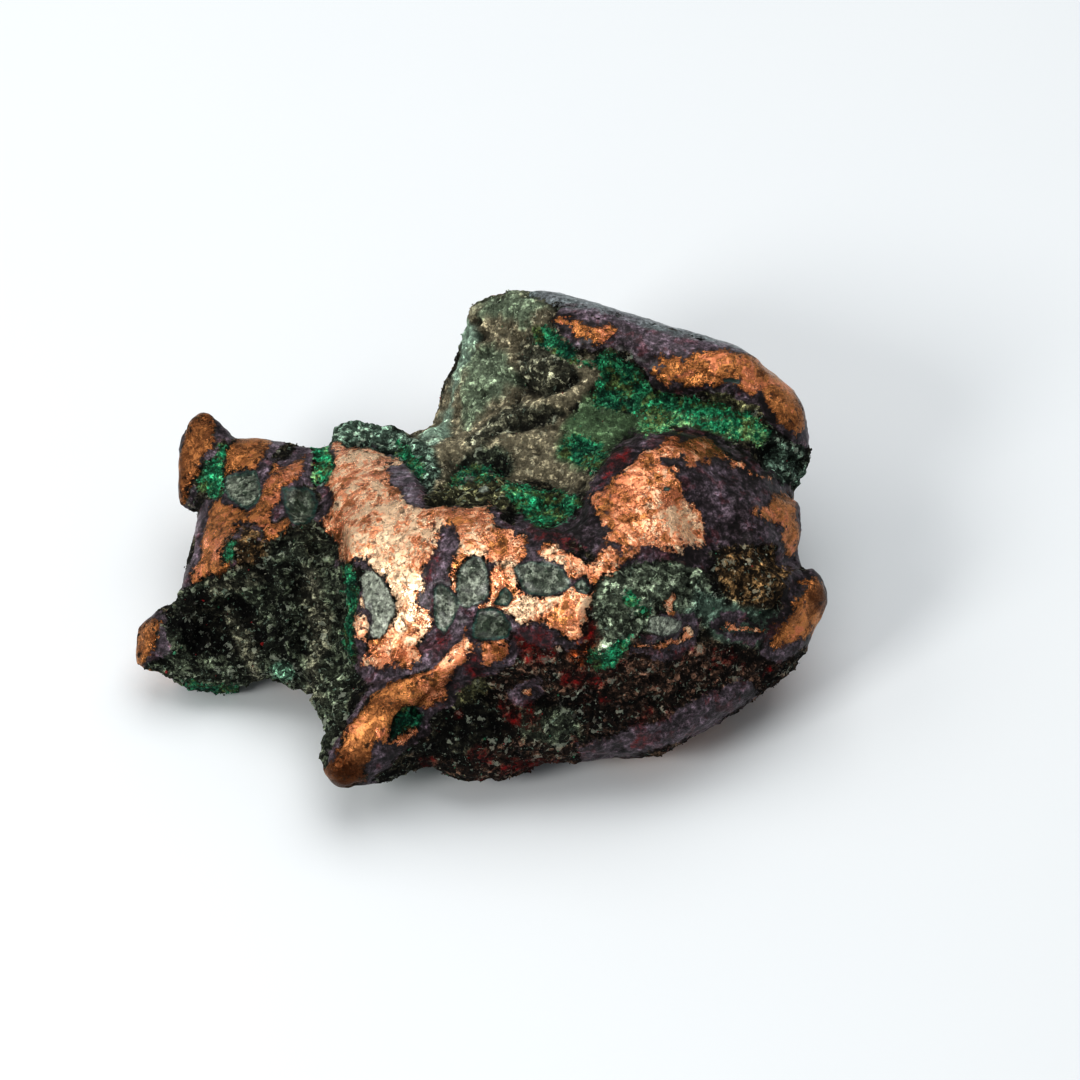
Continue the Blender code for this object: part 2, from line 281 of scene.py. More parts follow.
# Malachite: a tone from 0, dark emerald, to 1, bright, or 1.5, pale, and the outline.
MALACHITE = {
    "shoulder_band": (0.4, [
        (580, 362), (600, 355), (610, 350), (625, 362), (640, 372), (652, 390), (665, 395), (700, 400),
        (725, 406), (735, 414), (715, 420), (690, 414), (665, 414), (640, 412), (618, 410), (596, 404),
        (590, 392), (598, 380), (598, 366)]),
    "band_edge": (1.0, [
        (640, 420), (665, 414), (690, 416), (715, 420), (735, 414), (750, 412), (765, 425), (775, 432),
        (768, 440), (760, 446), (735, 436), (705, 428), (690, 424), (675, 424), (660, 430), (645, 434)]),
    "band_low": (0.4, [
        (562, 440), (575, 434), (590, 436), (604, 444), (600, 460), (588, 466), (572, 462), (560, 455)]),
    "pocket": (0.7, [
        (505, 480), (520, 484), (540, 486), (560, 488), (574, 492), (578, 502), (572, 514), (560, 522),
        (548, 527), (538, 526), (528, 518), (520, 508), (510, 498), (503, 488)]),
    "pocket_glint": (1.0, [(520, 482), (531, 484), (536, 490), (531, 498), (522, 494)]),
    "pocket_low": (0.9, [(538, 512), (552, 514), (556, 521), (548, 527), (538, 524)]),
    "ledge": (0.45, [
        (458, 462), (478, 460), (494, 466), (500, 474), (488, 482), (468, 482), (450, 486), (452, 474)]),
    "arm_left": (0.72, [
        (220, 443), (227, 442), (228, 449), (226, 455), (224, 461), (223, 471), (224, 482), (222, 490),
        (220, 496), (214, 498), (208, 496), (202, 493), (197, 487), (195, 481), (198, 475), (202, 467),
        (204, 461), (210, 459), (216, 451)]),
    "arm_right": (0.95, [
        (312, 441), (324, 439), (328, 440), (327, 447), (332, 453), (335, 463), (334, 471), (328, 480),
        (320, 482), (313, 481), (311, 477), (313, 467), (315, 457), (313, 449)]),
    "arm_sliver": (0.6, [
        (230, 539), (235, 541), (234, 549), (232, 557), (226, 563), (221, 561), (219, 555), (222, 547)]),
    "wall": (0.35, [(340, 565), (350, 562), (357, 590), (354, 625), (350, 660), (342, 650), (345, 610)]),
    "belly_lump_a": (0.9, [(625, 590), (634, 590), (638, 598), (634, 606), (626, 604)]),
    "belly_lump_b": (0.8, [(637, 608), (650, 608), (652, 616), (643, 620)]),
    "belly_lump_c": (0.75, [
        (591, 652), (602, 650), (619, 640), (633, 636), (627, 650), (614, 665), (598, 669), (588, 662)]),
    "spur_pocket": (0.1, [
        (395, 718), (402, 710), (415, 708), (422, 716), (420, 727), (410, 731), (398, 738), (391, 742),
        (389, 735)]),
    "arm_under": (0.3, [
        (180, 682), (200, 684), (222, 686), (240, 688), (236, 694), (210, 697), (188, 694)]),
    "shoulder_pale": (1.5, [
        (640, 420), (655, 416), (675, 412), (690, 420), (672, 428), (652, 434), (640, 430)]),
    "shoulder_pale_right": (1.5, [(748, 424), (762, 427), (772, 436), (762, 446), (752, 438)]),
    "nodule_top": (0.3, [
        (530, 328), (548, 325), (562, 340), (578, 354), (580, 364), (566, 362), (548, 350), (534, 342)]),
    "ledge_glint": (0.8, [
        (398, 440), (408, 448), (420, 458), (426, 470), (420, 474), (410, 464), (398, 452)]),
}

# Places of paler or deeper malachite: centre on the frame, radius, and what is added to the tone.
MALACHITE_STAINS = {
    "band_deep": (618, 378, 26, -0.1),
    "band_deep_left": (570, 350, 14, -0.25),
    "band_right": (700, 404, 20, 0.3),
    "pocket_deep": (552, 500, 14, -0.5),
    "ledge_deep": (480, 466, 12, -0.3),
}

# Purple and black copper oxides: a tone from 0, black, to 1, purple grey, and the outline.
OXIDE = {
    "shoulder_under": (0.25, [
        (550, 320), (556, 330), (566, 338), (575, 347), (590, 350), (612, 347), (630, 352), (640, 365),
        (650, 375), (657, 390), (668, 393), (680, 391), (720, 388), (745, 398), (765, 410), (790, 432),
        (800, 442), (803, 430), (800, 410), (785, 380), (760, 360), (720, 348), (690, 346), (655, 342),
        (635, 334), (612, 320), (585, 312), (560, 312)]),
    "belly_sheen": (0.4, [
        (578, 748), (608, 739), (633, 727), (667, 722), (692, 701), (718, 691), (743, 680), (756, 684),
        (758, 698), (737, 711), (711, 730), (678, 745), (634, 758), (583, 767)]),
    # The shoulder's top edge: a smooth worn grey film, and a painted sheen along the edge.
    "shoulder_film_and_sheen": (2.0, [
        (520, 282), (560, 288), (620, 303), (680, 320), (740, 342), (790, 370), (822, 410), (800, 396),
        (760, 360), (730, 346), (700, 338), (650, 324), (600, 310), (560, 302), (535, 294)]),
    "shoulder_top": (0.85, [
        (560, 300), (585, 306), (620, 314), (660, 324), (700, 338), (730, 348), (690, 350), (655, 350),
        (630, 342), (600, 318), (575, 312)]),
    "hump_ring": (0.3, [
        (596, 470), (606, 452), (615, 440), (630, 428), (650, 430), (670, 428), (690, 424), (705, 430),
        (722, 438), (740, 450), (760, 463), (775, 475), (770, 500), (760, 515), (782, 526), (786, 540),
        (770, 545), (745, 543), (723, 545), (708, 548), (716, 562), (708, 572), (690, 566), (676, 556),
        (640, 562), (622, 566), (600, 560), (585, 548), (560, 536), (530, 532), (515, 522), (520, 510),
        (548, 527), (572, 514), (586, 500), (588, 485)]),
    "saddle_cap": (1.0, [
        (386, 464), (397, 462), (408, 464), (418, 474), (424, 486), (424, 494), (412, 500), (400, 494),
        (390, 482)]),
    "saddle_spot": (0.5, [
        (367, 530), (376, 522), (386, 528), (389, 549), (378, 560), (366, 554), (362, 543)]),
    "saddle_streak": (0.75, [
        (440, 527), (455, 528), (460, 537), (458, 545), (454, 554), (449, 562), (447, 572), (443, 581),
        (437, 589), (437, 600), (436, 608), (434, 612), (430, 602), (424, 587), (423, 575), (428, 564),
        (434, 552), (439, 535)]),
    "saddle_under": (0.65, [
        (430, 612), (440, 600), (452, 594), (458, 600), (476, 612), (470, 630), (462, 632), (458, 642),
        (446, 650), (438, 662), (424, 670), (400, 676), (380, 688), (366, 684), (352, 668), (366, 666),
        (398, 668), (414, 662), (420, 654), (416, 645), (430, 632)]),
    "saddle_right_dark": (0.4, [
        (508, 614), (524, 625), (540, 622), (556, 630), (566, 640), (552, 650), (530, 645), (512, 634)]),
    "arm_dark": (0.4, [(255, 455), (271, 457), (273, 467), (269, 478), (263, 488), (256, 480), (256, 467)]),
    "arm_dark_right": (0.5, [
        (290, 468), (304, 458), (313, 466), (311, 480), (318, 492), (310, 486), (298, 484), (284, 487),
        (294, 478)]),
    "block_dark": (0.4, [
        (770, 484), (790, 486), (800, 496), (803, 540), (796, 560), (806, 574), (800, 580), (785, 560),
        (780, 540), (765, 520)]),
    "knob_rim": (0.2, [
        (806, 574), (822, 572), (830, 590), (831, 610), (820, 634), (800, 645), (775, 655), (765, 650),
        (780, 640), (770, 640), (768, 624), (790, 610)]),
    "prong_rim": (0.5, [
        (159, 622), (167, 635), (171, 651), (161, 659), (147, 665), (140, 667), (155, 640)]),
    "fin_rim": (0.3, [(205, 405), (222, 410), (238, 430), (228, 440), (218, 440), (214, 424)]),
    "spur_rim": (0.4, [
        (446, 690), (455, 672), (470, 655), (482, 650), (485, 668), (476, 680), (460, 690), (450, 704),
        (430, 712)]),
    "spur_tip_rim": (0.3, [
        (366, 770), (376, 742), (392, 746), (404, 748), (398, 760), (380, 776), (366, 785)]),
}

# Dark red cuprite: the outline.
CUPRITE = {
    "belly_left": [(518, 628), (540, 628), (553, 636), (556, 655), (540, 664), (522, 658), (514, 642)],
    "belly_right": [(580, 625), (598, 622), (602, 635), (592, 645), (580, 640)],
    "streak": [(432, 600), (440, 602), (446, 620), (450, 640), (446, 655), (436, 650), (436, 625)],
    "under_spur": [(462, 664), (474, 656), (484, 668), (480, 680), (466, 676)],
    "hump_left": [(600, 470), (612, 455), (628, 448), (630, 462), (612, 474), (602, 485)],
    "between": [(536, 530), (560, 534), (586, 545), (575, 552), (555, 542), (538, 540)],
    "foot": [(474, 745), (484, 748), (490, 762), (480, 768), (470, 758)],
    "belly_low": [(566, 670), (600, 672), (604, 684), (580, 690), (562, 682)],
    "belly_foot": [(500, 766), (540, 760), (560, 764), (520, 774), (500, 776)],
    "streak_top": [(424, 560), (434, 548), (440, 560), (432, 580), (424, 584)],
}

# Stone held in the copper, smooth and grey green: a tone from 0, dark, to 1, light, and the outline.
STONE = {
    "arm_grey": (0.25, [
        (224, 476), (234, 472), (245, 470), (255, 469), (259, 478), (261, 486), (261, 494), (257, 502),
        (253, 506), (247, 509), (240, 507), (234, 502), (226, 498), (223, 490), (223, 482)]),
    "arm_hole": (0.1, [
        (281, 486), (298, 484), (310, 486), (316, 492), (318, 502), (316, 514), (310, 522), (298, 525),
        (291, 522), (284, 510), (281, 498)]),
    "saddle_long": (1.05, [
        (364, 568), (374, 572), (384, 581), (389, 593), (394, 602), (395, 614), (389, 623), (386, 633),
        (378, 639), (370, 637), (368, 629), (370, 621), (369, 614), (364, 608), (362, 598), (361, 589),
        (359, 579)]),
    "saddle_hexagon": (0.4, [
        (513, 568), (519, 563), (529, 560), (538, 559), (548, 561), (560, 565), (564, 570), (567, 576),
        (572, 583), (569, 588), (560, 593), (550, 596), (537, 597), (527, 594), (521, 590), (519, 583),
        (516, 575)]),
    "saddle_kite": (0.2, [(503, 585), (512, 593), (513, 598), (508, 608), (492, 605)]),
    "saddle_block": (0.55, [
        (472, 555), (483, 558), (488, 570), (489, 583), (489, 595), (483, 602), (474, 606), (466, 610),
        (457, 606), (455, 597), (456, 583), (456, 572), (462, 564)]),
    "saddle_lump": (-0.05, [
        (481, 609), (493, 607), (503, 613), (510, 621), (512, 629), (508, 637), (498, 640), (483, 641),
        (472, 641), (471, 631), (473, 619), (476, 612)]),
    "saddle_column": (0.35, [
        (432, 588), (440, 583), (449, 588), (456, 598), (457, 612), (452, 624), (444, 634), (436, 628),
        (433, 614)]),
    "saddle_small": (0.5, [
        (575, 581), (583, 577), (588, 585), (592, 589), (586, 594), (577, 592), (574, 586)]),
    "pebble_a": (0.85, [(463, 474), (470, 471), (475, 475), (473, 482), (465, 482)]),
    "pebble_b": (0.9, [(488, 470), (494, 469), (497, 473), (493, 477), (488, 475)]),
    "pebble_c": (0.7, [(478, 485), (486, 483), (490, 488), (484, 492), (478, 490)]),
    "hump_slot": (0.2, [(662, 486), (672, 487), (672, 491), (663, 491)]),
    "shoulder_slot": (0.1, [(722, 377), (741, 379), (740, 383), (724, 382)]),
    "spur_slot": (0.0, [(447, 661), (453, 655), (455, 657), (449, 664)]),
    "grey_patch": (0.8, [(650, 615), (668, 616), (684, 622), (680, 632), (662, 638), (648, 632)]),
}

# Broad ground colours under the minerals: the colour's name, the softness of its edge in mm, and the outline.
GROUND = {
    "hollow": ("hollow_crust", 1.0, [
        (189, 584), (215, 577), (225, 571), (240, 569), (262, 560), (268, 540), (290, 530), (312, 520),
        (322, 525), (338, 545), (340, 570), (352, 600), (350, 640), (360, 668), (345, 720), (322, 770),
        (318, 742), (300, 720), (270, 705), (240, 690), (180, 695), (160, 680), (140, 668), (158, 637),
        (165, 620), (175, 600)]),
    "wall_ridge": ("dark_dust", 0.8, [
        (300, 560), (318, 575), (328, 610), (330, 650), (318, 700), (304, 690), (308, 640)]),
    "mint_spot": ("mint", 0.3, [(268, 668), (280, 664), (290, 670), (296, 682), (286, 686), (274, 678)]),
    "belly": ("belly_crust", 1.2, [
        (430, 640), (470, 640), (510, 612), (590, 600), (690, 640), (780, 650), (810, 640), (770, 700),
        (700, 745), (600, 770), (500, 790), (430, 775), (395, 750), (440, 700)]),
    "belly_grey": ("hollow_crust", 0.8, [
        (515, 710), (560, 705), (580, 720), (578, 742), (550, 746), (522, 735)]),
    "spur_olive": ("olive_crust", 0.5, [
        (455, 680), (476, 672), (490, 690), (478, 716), (462, 722), (448, 712)]),
    "spur_green_black": ("deep_black", 1.0, [
        (420, 712), (450, 704), (500, 700), (505, 740), (460, 762), (420, 764), (395, 750), (420, 732)]),
    "slope": ("dust", 0.7, [
        (466, 322), (470, 305), (482, 298), (505, 284), (530, 287), (548, 296), (556, 312), (552, 325),
        (556, 335), (572, 352), (582, 360), (602, 358), (600, 380), (590, 394), (578, 404), (566, 420),
        (562, 440), (556, 458), (590, 470), (600, 486), (560, 488), (520, 478), (490, 486), (450, 496),
        (428, 490), (440, 470), (436, 450), (420, 440), (404, 436), (420, 424), (440, 400), (455, 360)]),
    "slope_edge": ("green_dust", 0.5, [
        (464, 318), (474, 326), (474, 350), (470, 365), (460, 372), (456, 395), (450, 420), (446, 436),
        (425, 442), (418, 434), (434, 425), (448, 405), (452, 370), (460, 338)]),
    "slope_lichen": ("lichen", 0.9, [
        (470, 350), (500, 345), (515, 380), (490, 400), (478, 425), (466, 425), (458, 390)]),
    # Painted shade: a darker dust colour along the fold's crease on the slope.
    "slope_crease_shade": ("dark_dust", 0.6, [
        (500, 408), (520, 406), (545, 408), (566, 412), (545, 424), (522, 428), (505, 433), (485, 440),
        (462, 452), (470, 436), (488, 420)]),
    "slope_nodule": ("dark_dust", 0.5, [
        (518, 345), (534, 334), (552, 342), (566, 356), (580, 370), (580, 382), (565, 388), (545, 396),
        (530, 393), (520, 382), (516, 365)]),
    "slope_foot": ("hollow_crust", 0.4, [
        (452, 470), (462, 454), (480, 446), (498, 444), (508, 452), (512, 466), (505, 476), (480, 478)]),
    "band_grey": ("grey_green", 0.7, [
        (590, 392), (598, 404), (620, 410), (650, 410), (690, 412), (735, 410), (760, 420), (770, 436),
        (740, 440), (700, 426), (670, 424), (648, 434), (632, 430), (618, 434), (608, 446), (600, 462),
        (578, 468), (556, 458), (562, 436), (566, 418), (578, 404)]),
    "hollow_black": ("deep_black", 0.9, [
        (180, 602), (205, 594), (238, 597), (256, 612), (262, 636), (250, 654), (222, 658), (192, 648),
        (176, 626)]),
    "hollow_ridge": ("dark_dust", 0.5, [
        (222, 606), (236, 612), (252, 646), (268, 690), (256, 694), (242, 660)]),
    "hollow_lip": ("dark_dust", 0.5, [
        (206, 584), (240, 578), (262, 572), (268, 582), (240, 590), (212, 594)]),
    "slope_top": ("lichen", 1.0, [
        (476, 300), (505, 286), (530, 290), (545, 305), (520, 320), (490, 316), (476, 318)]),
    "rim": ("green_black", 0.5, [
        (328, 425), (350, 420), (385, 424), (410, 436), (432, 450), (440, 472), (430, 492), (418, 480),
        (408, 466), (390, 452), (350, 444), (330, 440)]),
    "pebbles": ("olive_crust", 0.8, [
        (440, 480), (470, 470), (505, 476), (512, 498), (490, 504), (450, 506), (425, 502)]),
    "brown": ("brown_crust", 0.7, [
        (723, 545), (751, 545), (771, 541), (782, 554), (790, 562), (809, 569), (805, 580), (796, 594),
        (790, 606), (771, 612), (751, 613), (738, 606), (727, 594), (719, 579), (715, 564)]),
    "brown_lump": ("brown_crust", 0.5, [
        (241, 521), (253, 522), (261, 527), (265, 535), (266, 545), (263, 555), (259, 563), (251, 567),
        (240, 569), (230, 567), (226, 564), (234, 555), (234, 543), (235, 533)]),
    "sugar": ("sugar_crust", 0.6, [
        (595, 590), (610, 572), (640, 558), (690, 560), (704, 575), (716, 590), (700, 602), (680, 612),
        (655, 606), (650, 632), (634, 640), (618, 652), (590, 664), (585, 640), (592, 605)]),
    "rust": ("red_brown", 0.6, [
        (572, 640), (586, 636), (598, 645), (590, 655), (584, 668), (572, 668), (570, 652)]),
    "right_end": ("green_black", 0.8, [
        (765, 430), (795, 442), (808, 455), (808, 488), (795, 492), (775, 480), (765, 460)]),
    "shoulder_crust": ("olive_crust", 0.8, [(700, 388), (745, 395), (765, 412), (745, 412), (715, 402)]),
    "knob_under": ("green_black", 0.8, [
        (700, 590), (740, 606), (780, 616), (760, 650), (720, 640), (690, 610)]),
}

# The ground patches with the roughest relief; no oxide ring runs round the copper there.
CRAGGY = {"slope": 0.2, "rim": 1.0, "hollow": 1.0, "sugar": 1.0, "pebbles": 1.0, "right_end": 1.0}

# Grooves and ridges: half width and height in millimetres, negative for a groove, and the line on the frame.
LINES = {
    "fold": (0.7, -0.55, [(440, 462), (468, 446), (495, 434), (520, 424), (545, 416)]),
    "fold_ridge": (0.9, 0.45, [(445, 452), (480, 434), (505, 420), (535, 404), (575, 396)]),
    "dust_ledge": (0.8, 0.4, [(470, 446), (505, 436), (540, 436), (560, 448)]),
    "nodule_shadow": (0.45, -0.7, [(515, 380), (524, 390), (535, 396), (550, 392), (565, 386), (578, 378)]),
    "nodule_left": (0.4, -0.35, [(518, 345), (515, 362), (517, 378)]),
    "foot_gap": (0.5, -0.6, [(456, 466), (470, 456), (486, 454), (498, 460)]),
    "small_nodule": (0.35, -0.3, [(474, 380), (480, 392), (490, 393), (496, 384)]),
    "slope_crack": (0.3, -0.25, [(500, 375), (512, 376), (520, 384)]),
    "slope_rib": (0.7, 0.3, [(466, 372), (462, 392), (448, 420), (430, 436)]),
    "shoulder_lip": (0.5, -0.3, [(528, 290), (545, 298), (560, 304), (572, 306)]),
    "rim_ridge": (0.5, 0.4, [(340, 428), (372, 426), (402, 436), (424, 450), (434, 470)]),
    "rim_groove": (0.4, -0.4, [(352, 440), (385, 444), (405, 456), (418, 472), (424, 488)]),
    "wall_rib": (0.8, 0.5, [(300, 548), (314, 575), (322, 610), (324, 650), (318, 690), (328, 720)]),
    "wall_fold": (0.7, -0.5, [(292, 565), (300, 600), (302, 640), (296, 680)]),
    "hollow_fold": (0.8, 0.4, [(215, 600), (235, 625), (250, 655), (262, 690)]),
    "hollow_gully": (0.8, -0.5, [(262, 575), (272, 605), (276, 640), (284, 668)]),
    "spur_bank": (0.5, -0.4, [(352, 668), (372, 678), (400, 672), (424, 668), (438, 652)]),
    "spur_pocket_edge": (0.4, -0.5, [(393, 736), (396, 722), (406, 712), (418, 712)]),
    "belly_shelf": (0.8, 0.4, [(470, 640), (500, 662), (540, 672), (600, 678), (660, 664), (720, 650)]),
    "belly_gully": (0.7, -0.4, [(480, 690), (520, 712), (560, 702), (610, 712), (660, 700)]),
    "hump_gully": (0.6, -0.35, [(590, 560), (596, 590), (588, 620), (590, 645)]),
    "knob_gully": (0.6, -0.4, [(806, 572), (790, 600), (765, 622), (740, 620)]),
    "shoulder_gully": (0.6, -0.4, [(655, 398), (690, 404), (730, 412), (762, 430)]),
    "hump_back": (0.6, -0.45, [(520, 500), (552, 500), (580, 480), (605, 450), (630, 432)]),
    "arm_gully": (0.4, -0.3, [(216, 446), (210, 466), (212, 488)]),
    "sugar_gully": (0.5, -0.3, [(600, 572), (640, 560), (690, 556), (712, 566)]),
}

# Pits and knobs: centre on the frame, radius in steps and height in millimetres, negative for a pit.
SPOTS = {
    "arm_hole": (299, 504, 14, -0.8),
    "slope_pit_a": (475, 322, 5, -0.7),
    "slope_pit_b": (478, 337, 5, -0.5),
    "slope_pit_c": (517, 400, 4, -0.35),
    "slope_red_spot": (508, 333, 4, 0.2),
    "slope_nodule": (545, 368, 20, 0.45),
    "slope_small_nodule": (484, 382, 9, 0.35),
    "foot_pit_a": (500, 468, 7, -0.6),
    "foot_stone_a": (492, 478, 8, 0.4),
    "foot_stone_b": (466, 480, 7, 0.35),
    "foot_pit_c": (452, 476, 6, -0.6),
    "pocket_knob": (550, 446, 8, 0.3),
    "pocket_pit": (565, 443, 4, -0.4),
    "malachite_pocket": (545, 503, 16, -0.6),
    "saddle_lump": (492, 624, 14, 0.15),
    "saddle_hexagon": (541, 578, 22, -0.1),
    "brown_lump": (248, 545, 14, 0.35),
    "belly_lump": (610, 655, 14, 0.45),
    "sugar_lump": (645, 606, 12, 0.35),
    "grey_patch": (666, 626, 14, 0.25),
    "brown_knob": (755, 578, 22, 0.3),
    "belly_pit_a": (530, 690, 14, -0.4),
    "belly_pit_b": (500, 738, 16, -0.4),
    "belly_knob_a": (560, 728, 16, 0.35),
    "belly_knob_b": (455, 746, 8, 0.4),
    "belly_knob_c": (478, 752, 10, 0.3),
    "belly_knob_d": (640, 712, 18, 0.3),
    "hollow_pit_a": (200, 640, 16, -0.5),
    "hollow_pit_b": (240, 608, 14, -0.45),
    "hollow_pit_c": (285, 620, 14, -0.4),
    "hollow_knob": (176, 648, 10, 0.4),
    "right_pit": (772, 455, 12, -0.5),
    "shoulder_pebble_a": (728, 393, 4, 0.3),
    "shoulder_pebble_b": (742, 405, 5, 0.3),
}


def linear(colour):
    """An sRGB colour, 0 to 255, as linear light: below 0.04045 a straight slope, above it a power of 2.4."""
    share = np.asarray(colour, float) / 255
    return np.where(share <= 0.04045, share / 12.92, ((share + 0.055) / 1.055) ** 2.4)


def ease(low, high, values):
    """0 below low, 1 above high, and the smooth cubic 3t^2 - 2t^3 between them."""
    share = np.clip((values - low) / (high - low), 0, 1)
    return share * share * (3 - 2 * share)


# Random clouds

def lattice(cells, seed):
    """Even random numbers, 0 to 1, for whole cells: their numbers times large odd ones, folded by shifts."""
    steps = cells.astype(np.int64).astype(np.uint32)
    mixed = steps[..., 0] * np.uint32(374761393) + steps[..., 1] * np.uint32(668265263)
    mixed = mixed + steps[..., 2] * np.uint32(2246822519) + np.uint32(seed * 97531 + 7)
    mixed = (mixed ^ (mixed >> np.uint32(13))) * np.uint32(1274126177)
    mixed = (mixed ^ (mixed >> np.uint32(15))) * np.uint32(2246822519)
    return ((mixed ^ (mixed >> np.uint32(16))) & np.uint32(0xFFFFFF)) / 0xFFFFFF


def cloud(places, size, seed, octaves=4, gain=0.55):
    """A random cloud, about -1 to 1: eased lattice values in octaves, each half the size and weaker."""
    total = np.zeros(len(places))
    strength = 1.0
    for octave in range(octaves):
        spots = places / (size * 0.5**octave) + 17.3 * octave
        cells = np.floor(spots)
        share = spots - cells
        share = share * share * (3 - 2 * share)
        for corner in itertools.product((0, 1), repeat=3):
            weight = np.prod(np.where(corner, share, 1 - share), axis=1)
            total += strength * weight * (2 * lattice(cells + corner, seed + octave) - 1)
        strength *= gain
    return total


def pebbles(places, size, seed):
    """Pebbles, one random point in each cell: the distance to the nearest and to the second, in cells."""
    spots = places / size
    cells = np.floor(spots)
    first = np.full(len(spots), 9.0)
    second = np.full(len(spots), 9.0)
    for corner in itertools.product((-1, 0, 1), repeat=3):
        cell = cells + corner
        centre = cell + np.stack([lattice(cell, seed + axis) for axis in range(3)], axis=1)
        distance = np.linalg.norm(spots - centre, axis=1)
        second = np.minimum(second, np.maximum(first, distance))
        first = np.minimum(first, distance)
    return first, second


# The frame of the main view

def look_axes():
    """The main view's right, up and forward directions."""
    sine = math.sin(VIEW_ELEVATION)
    cosine = math.cos(VIEW_ELEVATION)
    return np.array(((1, 0, 0), (0, sine, cosine), (0, cosine, -sine)))


def on_frame(places):
    """Where the line from the eye to each place crosses the frame, in steps right and down, and its depth."""
    right, up, forward = look_axes()
    eye = AIM - forward * VIEW_DISTANCE
    offset = places - eye
    depth = offset @ forward
    scale = VIEW_DISTANCE / depth / STEP
    half = FRAME_STEPS / 2
    return np.stack((half + offset @ right * scale, half - offset @ up * scale), axis=1), depth


def seen_share(places, normals):
    """1 where the surface faces the eye and nothing in its cell of the frame is nearer, else 0.

    A cloud sways how far the surface may turn away, so that the border between the sides is ragged.
    """
    spots, depth = on_frame(places)
    cells = np.floor(spots / HIDDEN_CELL).astype(int)
    nearest = np.full(cells.max(axis=0) + 1, np.inf)
    np.minimum.at(nearest, (cells[:, 0], cells[:, 1]), depth)
    eye = AIM - look_axes()[2] * VIEW_DISTANCE
    rays = eye - places
    facing = np.sum(rays * normals, axis=1) / np.linalg.norm(rays, axis=1)
    gap = HIDDEN_GAP / np.clip(np.abs(facing), 0.15, 1)
    open_view = depth < nearest[cells[:, 0], cells[:, 1]] + gap
    sway = 0.5 * np.maximum(cloud(places / MM, 4, 211, 3), 0)
    return open_view * ease(-0.35, -0.05, facing + sway)


def edge_distance(spots, line, closed):
    """Each spot's distance to a broken line, in steps: to the nearest point of the nearest straight piece."""
    start = np.asarray(line, float)
    end = np.roll(start, -1, axis=0)
    if not closed:
        start = start[:-1]
        end = end[:-1]
    along = end - start
    offset = spots[:, None] - start
    share = np.clip(np.sum(offset * along, axis=2) / np.sum(along * along, axis=1), 0, 1)
    return np.linalg.norm(offset - share[..., None] * along, axis=2).min(axis=1)


def inside_depth(spots, outline):
    """How deep each spot lies inside an outline, in millimetres: its edge distance, negative outside."""
    corners = np.asarray(outline, float)
    reach = REACH * MM / STEP
    depth = np.full(len(spots), -REACH)
    near = np.all((spots > corners.min(axis=0) - reach) & (spots < corners.max(axis=0) + reach), axis=1)
    close = spots[near]
    if len(close) == 0:
        return depth
    after = np.roll(corners, -1, axis=0)
    over = (corners[:, 1] > close[:, 1:]) != (after[:, 1] > close[:, 1:])
    rise = after[:, 1] - corners[:, 1]
    slant = (after[:, 0] - corners[:, 0]) / np.where(rise, rise, 1)
    cross = corners[:, 0] + (close[:, 1:] - corners[:, 1]) * slant
    inside = np.sum(over & (close[:, :1] < cross), axis=1) % 2 == 1
    distance = edge_distance(close, corners, True) * STEP / MM
    depth[near] = np.clip(np.where(inside, distance, -distance), -REACH, REACH)
    return depth


def toned_by_spots(spots, tone, stains):
    """Adds each spot to a tone: its amount times a bell curve of the distance to its centre. Spots are
    stains, and on the copper's saddle also painted highlights.
    """
    for right, down, radius, amount in stains.values():
        distance = np.linalg.norm(spots - (right, down), axis=1)
        tone = tone + amount * np.exp(-((distance / radius) ** 2))
    return tone


def patch_fields(spots, patches):
    """The depth inside the nearest of many patches, and the tone: a mean weighted to the deepest patch."""
    depth = np.full(len(spots), -REACH)
    weights = np.full(len(spots), 1e-6)
    tones = np.full(len(spots), 0.5e-6)
    for tone, outline in patches.values():
        own = inside_depth(spots, outline)
        depth = np.maximum(depth, own)
        weight = ease(-1.2, 0.2, own)
        weights += weight
        tones += weight * tone
    return depth, tones / weights


# The fine mesh

def shown(name, data):
    """A new object in the scene."""
    made = bpy.data.objects.new(name, data)
    bpy.context.scene.collection.objects.link(made)
    return made


def fine_copy(node):
    """The solid's mesh, merged, remeshed into squares of FINE_EDGE, as a new object at the origin."""
    mesh = node.data.copy()
    shape = bmesh.new()
    shape.from_mesh(mesh)
    bmesh.ops.remove_doubles(shape, verts=shape.verts, dist=0.001 * MM)
    shape.to_mesh(mesh)
    shape.free()
    rough = shown("nugget_solid", mesh)
    remesh = rough.modifiers.new("squares", "REMESH")
    remesh.mode = "VOXEL"
    remesh.voxel_size = FINE_EDGE
    remesh.use_smooth_shade = True
    evaluated = rough.evaluated_get(bpy.context.evaluated_depsgraph_get())
    fine = bpy.data.meshes.new_from_object(evaluated)
    bpy.data.objects.remove(rough)
    fine.materials.clear()
    return shown("nugget", fine)


def read_rows(items, name, width, kind=float):
    """One property of every item of a mesh, as rows of numbers."""
    flat = np.empty(width * len(items), kind)
    items.foreach_get(name, flat)
    return flat.reshape(-1, width)


def move_vertices(mesh, places):
    """Puts every vertex at its new place; returns the new vertex normals."""
    mesh.vertices.foreach_set("co", places.ravel())
    mesh.update()
    return read_rows(mesh.vertex_normals, "vector", 3)


def neighbour_mean(values, edges):
    """The mean of each vertex's neighbours: a sum over the edges, divided by their number."""
    columns = values.reshape(len(values), -1)
    ends = np.concatenate((edges[:, 0], edges[:, 1]))
    others = np.concatenate((edges[:, 1], edges[:, 0]))
    count = np.bincount(ends, minlength=len(values))
    sums = [np.bincount(ends, column[others], minlength=len(values)) for column in columns.T]
    return (np.stack(sums, axis=1) / count[:, None]).reshape(values.shape)


def softened(values, edges, rounds):
    """Values spread over the surface: each round moves them half way to their neighbours' mean."""
    for _ in range(rounds):
        values = 0.5 * values + 0.5 * neighbour_mean(values, edges)
    return values


